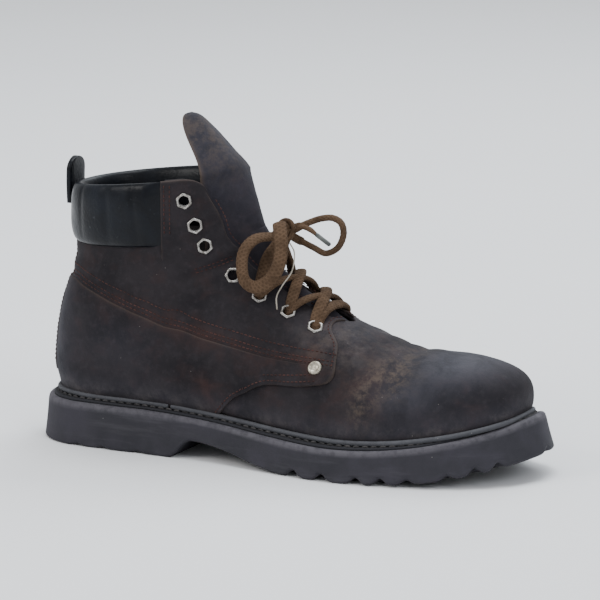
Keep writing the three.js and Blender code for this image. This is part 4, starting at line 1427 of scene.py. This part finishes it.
def tongue_grid():
    """The tongue's upper face and under face. Up to the collar it follows the last inside the throat,
    swollen in its middle by a squared cosine; above it the last row is carried on between the free
    end's two edges, leaning back and curling a little."""
    rows, columns = 120, 54
    u = np.linspace(TONGUE_START, TOP, rows)[:, None]
    reach = np.interp(u, TONGUE_LIE[:, 0], TONGUE_LIE[:, 2])
    crown = np.interp(u, TONGUE_LIE[:, 0], TONGUE_LIE[:, 1])
    half = np.interp(u, THROAT[:, 0], THROAT[:, 1])
    slit = np.arcsin(np.minimum(half / 40, 0.9)) * 0.95
    t = np.linspace(-1, 1, columns)[None, :]
    a = (reach - TONGUE_TUCK * share(u, 18.5, 23) * (t < 0)) * t + 1e-4
    swell = np.cos(np.pi / 2 * np.minimum(np.abs(a) / slit, 1)) ** 2
    height = -3.6 + (crown + 3.6) * swell
    section = np.broadcast_to(u, a.shape)
    place = on_last(section, a)
    height = height + swell * (0.5 * ripple(place, 26, 21) + 0.2 * ripple(place, 9, 22))
    side = np.abs(t) ** 8
    upper = above(section, a, height - side * 0.8)
    under = above(section, a, height - TONGUE_THICKNESS + side * 0.8)
    centre = np.concatenate([upper[-1], under[-1]]).mean(0)
    r = np.sin(np.linspace(0, np.pi / 2, 46)[1:])
    at = np.linspace(0, 1, 300)
    left, right = (
        np.stack([np.interp(r, at, edge[:, k]) for k in range(2)], -1)[:, None]
        for edge in (curve(TONGUE_OUTER_EDGE, 300), curve(TONGUE_INNER_EDGE, 300))
    )
    narrow = (right[..., 0] - left[..., 0]) / TONGUE_FULL
    faces = []
    for grid in (upper, under):
        out = grid[-1] - centre
        across = np.clip(out[:, 1] / TONGUE_FULL + 0.5, 0, 1)[None, :, None]
        flat = left * (1 - across) + right * across
        lean = TONGUE_LEAN * (np.sin(np.pi / 2 * r) ** 1.5)[:, None]
        curl = 1.6 * np.sin(np.pi * across[..., 0] * 2.2) * (r * (1 - r) * 4)[:, None]
        x = centre[0] - lean + out[:, 0] * narrow**0.8 + curl
        z = centre[2] + flat[..., 1] + out[:, 2] * (1 - r)[:, None]
        faces.append(np.vstack([grid, np.stack([x, flat[..., 0], z], -1)]))
    return faces


def make_tongue():
    """The tongue as a closed sheet, leather outside and cloth inside. It is dark where its inner edge
    rolls over, and paler along both raw edges and toward the tip."""
    upper, under = tongue_grid()
    points, faces, kinds = thick_sheet(upper, under)
    z = upper[..., 2]
    across = np.linspace(-1, 1, upper.shape[1])[None, :]
    wear = {
        # painted blue-grey sheen, stronger toward the top
        "wear_and_painted_sheen": 0.25 * share(z, 120, 175) + 0.1,
        "scuff": 0.45 * share(z, 150, 180),
        "redness": 0.25 * share(z, 165, 130),
        "dark": 0.9 * share(across, 0.6, 0.72) * share(z, 120, 135),
    }
    values = both_faces(wear, 0.8 * np.abs(across) ** 30 + 0 * z)
    lined = (kinds == 1).astype(int)
    piece = make_piece("tongue_leather", points, faces, [TONGUE_LEATHER, LINING], lined, values=values)
    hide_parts("tongue")


make_collar()
make_back_tab()
make_tongue()

# ---------- sole, welt and insole ----------

NOTCHES_OUTER = [36, 53, 76, 180, 198, 218.5, 233, 247, 268, 281, 291]
NOTCHES_INNER = [30, 48, 70, 172, 189, 207, 225, 242, 258, 273, 287]
SOLE_SAMPLES = 1100
SOLE_ROUNDING = 2.2  # radius of the rim's and the tread's outer edge
TOE_FLARE = 3.2  # how far the side leans out at the toe


def notch_field(outline):
    """How deep the lugs' notches bite at each point of the outline: narrow rounded bells at set
    distances from the heel's back on each side, shallow at the heel, and one at the toe's tip."""
    x = outline[:, 0]
    step = np.linalg.norm(np.roll(outline, -1, 0) - outline, axis=1)
    run = np.cumsum(step) - step
    total = step.sum()
    depth = np.zeros(len(x))
    half = run[np.argmax(x)]
    for places, side in ((NOTCHES_OUTER, run <= half), (NOTCHES_INNER, run > half)):
        for place in places:
            i = np.argmin(np.where(side, np.abs(x - place), 1e9))
            away = np.abs(run - run[i])
            away = np.minimum(away, total - away)
            bite = 0.9 if place < 100 else 2.2 if place in (247, 268) else 3.2
            depth = np.maximum(depth, bite * bell(away, 3.3) + 0.12 * bite * bell(away, 7.5))
    return np.maximum(depth, 2.4 * bell(run - half, 3.3))


def spine(points):
    """The nearest place on the sole's middle line, which fans its rings in toward the middle."""
    x = np.clip(points[:, 0], 38, 262)
    rows = np.array(OUTLINE, float)
    outer = np.interp(x, rows[:, 0], rows[:, 1])
    inner = np.interp(x, rows[:, 2], rows[:, 3])
    return np.stack([x, (outer + inner) / 2], -1)


def tread_pattern(x, y, inward):
    """How deep the tread is cut: a channel inside the row of edge lugs, and slanting bars across the
    forefoot and the heel between the channels. Across each cut the depth is the exponential of minus
    the fourth power of the distance over the half width, flat at the bottom."""
    mid = np.interp(x, [0, 160, 306], [0, -2, 12])
    chevron = x + 0.45 * np.abs(y - mid)
    wave = np.abs(((chevron / 17.0) % 1.0) - 0.5) * 17.0
    bars = np.exp(-((wave / 1.9) ** 4))
    channel = np.exp(-(((inward - 14.5) / 1.7) ** 4))
    inside = share(inward, 13, 15)
    return 3.0 * np.maximum(channel, bars * inside)


def make_outsole():
    """The sole as rings of its outline from the middle of the top, out over the rounded rim, down the
    leaning side, round the tread's edge and in to the middle of the underside."""
    outline = sole_outline(SOLE_SAMPLES)
    notch = notch_field(outline)
    x = outline[:, 0]
    rim, tread = rim_height(x), tread_height(x)
    middle = spine(outline)
    flare = TOE_FLARE * smooth(share(x, 235, 296))
    grid, edges, darks = [], [], []

    def ring(flat, z, edge=0.0, dark=0.0):
        """One ring of the sole at a height, with how pale its rim band is (rubbed wear and painted
        highlight) and how much painted shade darkens it.
        """
        grid.append(np.column_stack([flat, z]))
        edges.append(np.full(len(flat), edge))
        darks.append(np.zeros(len(flat)) + dark)

    head = inset(outline, SIDE_FLARE * rim)
    for w in (1.0, 0.6, 0.25):
        flat = inset(head, 9) * (1 - w) + middle * w
        ring(flat, rim_height(flat[:, 0]) - 0.6)
    # painted shade: the sole's top in the groove under the welt's edge is darkened on these three rings
    ring(inset(head, 7.5), rim - 0.6, 0, 0.9)
    ring(inset(head, 5.0), rim - 0.55, 0, 0.9)
    ring(inset(head, 3.9), rim - 0.3, 0.3, 0.4)
    # the rounded rim and the top of the side are paler: rubbed wear with a painted highlight where they face
    # up
    for angle in np.linspace(0, np.pi / 2, 7):
        height = rim - SOLE_ROUNDING + SOLE_ROUNDING * math.cos(angle)
        ring(inset(head, 2.6 - 2.6 * math.sin(angle)), height, 1.0 - 0.2 * angle)
    for t in np.linspace(0.0, 1.0, 26)[1:]:
        level = (rim - SOLE_ROUNDING) * (1 - t) + (tread + SOLE_ROUNDING) * t
        hollow = 0.5 * math.sin(math.pi * t)
        dent = np.maximum(notch - 0.3, 0) * smooth(share(t, 0.72, 1.0)) * 0.4
        flat = inset(outline, SIDE_FLARE * level + hollow * 0.3 + dent - flare * t)
        lifted = level + notch * smooth(share(t, 0.8, 1.0))
        ring(flat, lifted, 0.55 * share(t, 0.12, 0.0))
    for angle in np.linspace(0, np.pi / 2, 6)[1:]:
        side = 1.9 * (1 - math.cos(angle))
        flat = inset(outline, SIDE_FLARE * tread + side + 0.4 * notch - flare)
        ring(flat, tread + SOLE_ROUNDING - SOLE_ROUNDING * math.sin(angle) + notch)
    foot = inset(outline, SIDE_FLARE * tread - flare)
    reach = np.linalg.norm(foot - middle, axis=1)
    inward = np.concatenate([np.linspace(2.6, 12.5, 9), np.linspace(13, 16.4, 8), np.linspace(17.4, 60, 42)])
    for d in inward:
        w = np.clip(d / reach, 0, 1)[:, None]
        flat = foot * (1 - w) + middle * w
        fade = smooth(share(d, 12.4, 8.0))
        cut = np.maximum(notch * fade, tread_pattern(flat[:, 0], flat[:, 1], d))
        heel = smooth(share(flat[:, 0], HEEL_BREAST - 2, HEEL_BREAST - 8))
        forefoot = smooth(share(flat[:, 0], 156, 166))
        cut = cut * np.clip(heel + forefoot, 0, 1)
        # painted shade: darker where the tread is cut deeper
        ring(flat, tread_height(flat[:, 0]) + cut, 0, 0.3 * share(cut, 0.5, 2.5))
    ring(middle, tread_height(middle[:, 0]))
    values = {"edge": np.concatenate(edges), "dark": np.concatenate(darks)}
    piece = ring_piece("sole_rubber", grid, RUBBER, values=values)
    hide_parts("outsole")


def foot_line(height, count, out=0.0):
    """The line round the upper at a height above the rim, moved out by a distance."""
    loop = level_line(height, count)
    flat = inset(loop, -out)
    flat[:, 2] = rim_height(flat[:, 0]) + height
    return flat


def welt_lines(count):
    """The foot of the upper and the welt's lip, as loops of count points."""
    outline = sole_outline(count)
    return foot_line(1.5, count), inset(outline, SIDE_FLARE * rim_height(outline[:, 0]) + WELT_INSET - 1.2)


# The welt's section: how far from the upper's foot out to the lip, and height above the rim.
WELT_PROFILE = [
    (-0.35, -0.4),
    (-0.1, 1.35),
    (0.25, 1.55),
    (0.6, 1.55),
    (0.86, 1.5),
    (0.97, 1.25),
    (1.0, 0.7),
    (1.0, -0.4),
]


def make_welt():
    """The welt: a ledge from under the upper out to the rim, its edge rounded, and the bead that lies
    against the upper, a rounded square swept along the upper's foot."""
    count = 720
    foot, lip = welt_lines(count)
    # Both loops start at the heel's back and run even by their own length round to the toe and back.
    grid, darks = [], []
    for across, level in WELT_PROFILE:
        flat = foot[:, :2] * (1 - across) + lip * across
        grid.append(np.column_stack([flat, rim_height(flat[:, 0]) + level]))
        # painted shade and dirt: the ledge is darker on its inner part, near the upper and under the bead
        darks.append(np.full(count, 0.75 if across < 0.8 else 0.2))
    rows = len(grid)
    faces = grid_faces(rows, count, closed=True)
    closing = grid_faces(2, count, closed=True)
    closing = np.where(closing >= count, closing - count, closing + (rows - 1) * count)
    faces, values = np.vstack([faces, closing]), {"dark": np.concatenate(darks)}
    piece = make_piece("welt_ledge", np.vstack(grid), faces, [WELT_RUBBER_DIRT_AND_SHADE], values=values)
    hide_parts("welt")
    bead_line = foot_line(3.2, count, 0.95)
    run = unit(np.roll(bead_line, -1, 0) - np.roll(bead_line, 1, 0))
    up = np.array([0, 0, 1.0])
    out = unit(np.cross(run, np.broadcast_to(up, run.shape)))
    turn = np.linspace(0, 2 * np.pi, 14, endpoint=False)
    reach = rounded_square(turn, 2.5)
    # The bead is one strip whose ends butt together on the outer side of the heel.
    gap_at = np.argmin(np.where(bead_line[:, 1] < 0, np.abs(bead_line[:, 0] - 93), 1e9))
    order = np.roll(np.arange(count), -gap_at - 1)[:-1]
    line, out = bead_line[order], out[order]
    rings = line[:, None] + (1.6 * np.cos(turn) * reach)[None, :, None] * out[:, None]
    rings = rings + (1.5 * np.sin(turn) * reach)[None, :, None] * up
    rings = closed_ends(rings)
    # painted highlight on the bead's upper half ("edge") and painted shade on its lower half ("dark")
    top = np.repeat(0.6 * np.clip(np.sin(turn), 0, 1)[None], len(rings), 0)
    low = np.repeat(0.5 * np.clip(-np.sin(turn), 0, 1)[None], len(rings), 0)
    values = {"edge": top.ravel(), "dark": low.ravel()}
    piece = ring_piece("welt_bead", rings, BEAD_RUBBER, values=values)


# The sock liner's section: share of the way in from its rim to its middle, and rise.
LINER_PROFILE = [
    (0.0, -3.8),
    (0.0, 0.4),
    (0.03, 0.9),
    (0.1, 0.3),
    (0.25, 0.0),
    (0.5, -0.25),
    (0.75, -0.35),
    (1.0, -0.4),
]


def make_insole():
    """The sock liner: rings from the inside of the upper in to the middle, a little cupped at its rim
    and pressed down under the heel and the ball."""
    count = 300
    edge = foot_line(4.3, count, -2.9)
    middle = np.column_stack([spine(edge), np.zeros(count)])
    bottom = middle.copy()
    bottom[:, 2] = rim_height(bottom[:, 0]) + 0.5
    grid = [bottom]
    for w, rise in LINER_PROFILE:
        p = edge * (1 - w) + middle * w
        worn = 0.5 * bell(p[:, 0] - 50, 22) + 0.4 * bell(p[:, 0] - 205, 30)
        p[:, 2] = rim_height(p[:, 0]) + 4.2 + rise - worn * w
        grid.append(p)
    piece = ring_piece("sock_liner", grid, INSOLE_CLOTH)
    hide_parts("insole")


make_outsole()
make_welt()
make_insole()

# ---------- eyelets, rivets and stitches ----------


def standing_frame(u, a, height):
    """A place above the last and the three directions there: along the flap, across it, and out."""
    out = outward(u, a)
    along_flap = unit(on_last(u + 0.05, a) - on_last(u - 0.05, a))
    across = unit(np.cross(along_flap, out))
    return above(u, a, height), np.cross(out, across), across, out


def turned(profile, radius_of, sides, frame_at):
    """A shape turned about an axis: rows follow the profile's (radius, height), columns go round, and
    radius_of bends the round into another outline by a share that each profile row gives."""
    place, x, y, z = frame_at
    turn = np.linspace(0, 2 * np.pi, sides, endpoint=False)[None, :]
    r, h, bent = (column[:, None] for column in np.array(profile).T)
    r = r * (1 + bent * (radius_of(turn) - 1))
    flat = place + (r * np.cos(turn))[..., None] * x + (r * np.sin(turn))[..., None] * y
    return flat + h[..., None] * z


def hexagon(turn):
    """The radius of a hexagon with softened corners, as a share of its corner radius."""
    near = (turn % (np.pi / 3)) - np.pi / 6
    return np.minimum(math.cos(np.pi / 6) / np.cos(near), 0.975)


# Radius, height and how hexagonal each ring is, from the barrel inside the leather out to the rim.
EYELET_PROFILE = [
    (3.1, -3.9, 0.2),
    (3.1, 0.35, 0.3),
    (3.2, 0.75, 0.5),
    (3.5, 0.98, 0.8),
    (3.9, 1.02, 1),
    (4.4, 0.92, 1),
    (4.8, 0.6, 1),
    (4.9, 0.25, 1),
    (4.9, -0.1, 1),
    (4.4, -0.15, 1),
    (3.5, -0.15, 0.4),
    (3.4, -3.9, 0.2),
]
RIVET_PROFILE = [
    (0.0, 1.05, 0),
    (1.3, 1.05, 0),
    (2.3, 1.12, 0),
    (2.6, 1.5, 0),
    (3.0, 1.7, 0),
    (3.5, 1.6, 0),
    (3.95, 1.1, 0),
    (4.05, 0.4, 0),
    (3.9, -0.2, 0),
    (0.0, -0.2, 0),
]


def flap_surface(u, a):
    """The height of the outermost leather at an eyelet, folds and all."""
    rise = float(flap_rise(on_last(u, a))) if u > 15.9 else 0.0
    lift = max(QUARTER_LIFT, FLAP_LIFT - (FLAP_LIFT - FLAP_UNDERSIDE) * (1 - rise))
    return float(base_height(u, a)) + lift


def make_eyelets():
    """Seven hexagonal eyelets and one round rivet on each side."""
    for name, side in SIDES.items():
        for i, (u, a) in enumerate(EYELETS, 1):
            height = flap_surface(u, side * a)
            grid = turned(EYELET_PROFILE, hexagon, 48, standing_frame(u, side * a, height))
            piece = ring_piece(f"eyelet_ring_{name}_{i}", np.vstack([grid, grid[:1]]), EYELET_METAL)
            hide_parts(f"eyelet_{name}_{i}")
        u, a = RIVET
        height = float(base_height(u, side * a)) + COUNTER_LIFT - 0.3
        grid = turned(RIVET_PROFILE, lambda t: 1 + 0 * t, 32, standing_frame(u, side * a, height))
        piece = ring_piece(f"rivet_head_{name}", grid, RIVET_METAL)
        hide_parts(f"rivet_{name}")


# Stitches: pitch, length, thickness, and how far they are pulled into the leather.
SEAM_STITCH = (2.6, 2.0, 0.65, 0.15)
BACKSTAY_STITCH = (2.6, 2.0, 0.6, 0.15)
WELT_STITCH = (5.2, 4.0, 1.3, 0.15)


def stitch_points(line, out, pitch, length, thickness, sink):
    """Stitches along a line of places with their outward directions: each a short capsule of seven
    rings, its middle raised a little, one per pitch."""
    run = run_along(line)
    centres = np.arange(pitch, run[-1] - pitch / 2, pitch)
    t = np.linspace(-0.5, 0.5, 7)
    at = centres[:, None] + length * t[None, :]
    place = np.stack([np.interp(at, run, line[:, k]) for k in range(3)], -1)
    normal = unit(np.stack([np.interp(at, run, out[:, k]) for k in range(3)], -1))
    forward = unit(np.gradient(place, axis=1))
    across = np.cross(normal, forward)
    size = thickness / 2 * np.sqrt(np.clip(1 - (2 * t) ** 4, 0.04, 1))[None, :, None, None]
    arch = (thickness * 0.42 * (1 - (2 * t) ** 2) - sink)[None, :, None]
    turn = np.linspace(0, 2 * np.pi, 6, endpoint=False)[None, None, :, None]
    ring = np.cos(turn) * across[:, :, None] + np.sin(turn) * normal[:, :, None]
    return (place + normal * arch)[:, :, None] + size * ring


def stitch_piece(name, rows_of_stitches, material):
    """All stitches of one seam joined in one piece."""
    stitches = np.concatenate(rows_of_stitches)
    count, rings, sides = stitches.shape[:3]
    first = (np.arange(count) * rings * sides)[:, None, None]
    faces = (grid_faces(rings, sides, closed=True)[None] + first).reshape(-1, 4)
    caps = np.array([[0, 3, 2, 1], [0, 5, 4, 3]])
    ends = np.vstack([caps, (caps + (rings - 1) * sides)[:, ::-1]])
    faces = np.vstack([faces, (ends[None] + first).reshape(-1, 4)])
    piece = make_piece(name, stitches.reshape(-1, 3), faces, [material], weld=False)


def seam_on_panel(points, side, lift, shift):
    """A row of stitches beside a seam on the leather: the seam's line moved across the surface, its
    step in millimetres turned into steps of section and angle."""
    line = border_at(border(points), np.linspace(0, 1, 400))
    u = np.clip(line[:, 0], 0.02, TOP)
    a = side * line[:, 1]
    e = 0.01
    by_u = (on_last(u + e, a) - on_last(u - e, a)) / (2 * e)
    by_a = (on_last(u, a + e) - on_last(u, a - e)) / (2 * e)
    forward = unit(np.gradient(on_last(u, a), axis=0))
    across = unit(np.cross(outward(u, a), forward)) * (shift * side)
    uu, ua, aa = (by_u**2).sum(-1), (by_u * by_a).sum(-1), (by_a**2).sum(-1)
    ru, ra = (by_u * across).sum(-1), (by_a * across).sum(-1)
    u = np.clip(u + (aa * ru - ua * ra) / (uu * aa - ua**2), 0.02, TOP)
    a = a + (uu * ra - ua * ru) / (uu * aa - ua**2)
    return stitch_points(above(u, a, base_height(u, a) + lift), outward(u, a), *SEAM_STITCH)


def make_stitches():
    """All rows of stitches: on each side those of the counter's top, the quarter's front, the
    counter's tail, the throat, the flap's rear edge and the ankle; then the backstay's and the welt's."""
    front, rear = quarter_borders()[2], flap_borders()[1][4:]
    seams = [
        *((COUNTER_TOP, QUARTER_LIFT, shift) for shift in (1.8, 4.3, 9.0)),
        (front, QUARTER_LIFT, 2.0),
        (TAIL_EDGE, COUNTER_LIFT, 2.2),
        (TAIL_EDGE[:3], COUNTER_LIFT, 6.0),
        (throat_line(9.6, 22.2, 60), QUARTER_LIFT + 0.15, 2.2),
        (rear, FLAP_LIFT, 2.2),
        (rear, FLAP_LIFT, 5.4),
        (ANKLE_STITCHES, QUARTER_LIFT, 0),
        (ANKLE_STITCHES, QUARTER_LIFT, 2.2),
    ]
    for name, side in SIDES.items():
        rows = [seam_on_panel(line, side, lift, shift) for line, lift, shift in seams]
        stitch_piece(f"seam_stitches_{name}", rows, SEAM_THREAD)
    u = np.linspace(16.2, 21.1, 80)
    rows = []
    for swing in (-1, 1):
        angle = np.pi + swing * backstay_half(u) * 0.84
        line = above(u, angle, base_height(u, angle) + backstay_step(u) + 0.6)
        rows.append(stitch_points(line, outward(u, angle), *BACKSTAY_STITCH))
    stitch_piece("backstay_stitches", rows, SEAM_THREAD)
    foot, lip = welt_lines(900)
    flat = foot[:, :2] * 0.38 + lip * 0.62
    line = np.column_stack([flat, rim_height(flat[:, 0]) + 1.6])
    line = np.vstack([line, line[:1]])
    up = np.tile([0, 0, 1.0], (len(line), 1))
    stitch_piece("welt_stitches", [stitch_points(line, up, *WELT_STITCH)], WELT_THREAD)


make_eyelets()
make_stitches()

# ---------- floor and light ----------


def make_stage():
    """A plain pale floor, a soft white surround and four large soft lights."""
    side = 6.0
    mesh = bpy.data.meshes.new("floor")
    corners = [(-side, -side, 0), (side, -side, 0), (side, side, 0), (-side, side, 0)]
    mesh.from_pydata(corners, [], [(0, 1, 2, 3)])
    n = Nodes("pale_floor", roughness=0.9, specular=0.2)
    n.finish(n.mix(n.noise(3, 2, 0.5), (0.83, 0.83, 0.835), (0.86, 0.86, 0.865)))
    mesh.materials.append(n.material)
    floor = placed("floor", mesh)
    world = bpy.data.worlds.new("surround")
    world.use_nodes = True
    background = world.node_tree.nodes["Background"]
    background.inputs["Color"].default_value = (0.93, 0.96, 1.0, 1)
    background.inputs["Strength"].default_value = 0.75
    bpy.context.scene.world = world
    for place, size, power, colour in (
        ((-1.3, -1.7, 1.5), 1.1, 22, (1.0, 0.98, 0.95)),
        ((1.7, -1.0, 1.4), 1.0, 12, (0.92, 0.96, 1.0)),
        ((0.2, 1.6, 1.9), 1.5, 34, (0.88, 0.94, 1.0)),
        ((0.0, 0.1, 2.5), 1.3, 42, (0.92, 0.96, 1.0)),
    ):
        lamp = bpy.data.lights.new("soft_light", "AREA")
        lamp.size = size
        lamp.energy = power
        lamp.color = colour
        light = placed("soft_light", lamp)
        light.location = place
        light.rotation_euler = (Vector((0, 0, 0.06)) - Vector(place)).to_track_quat("-Z", "Y").to_euler()


make_stage()
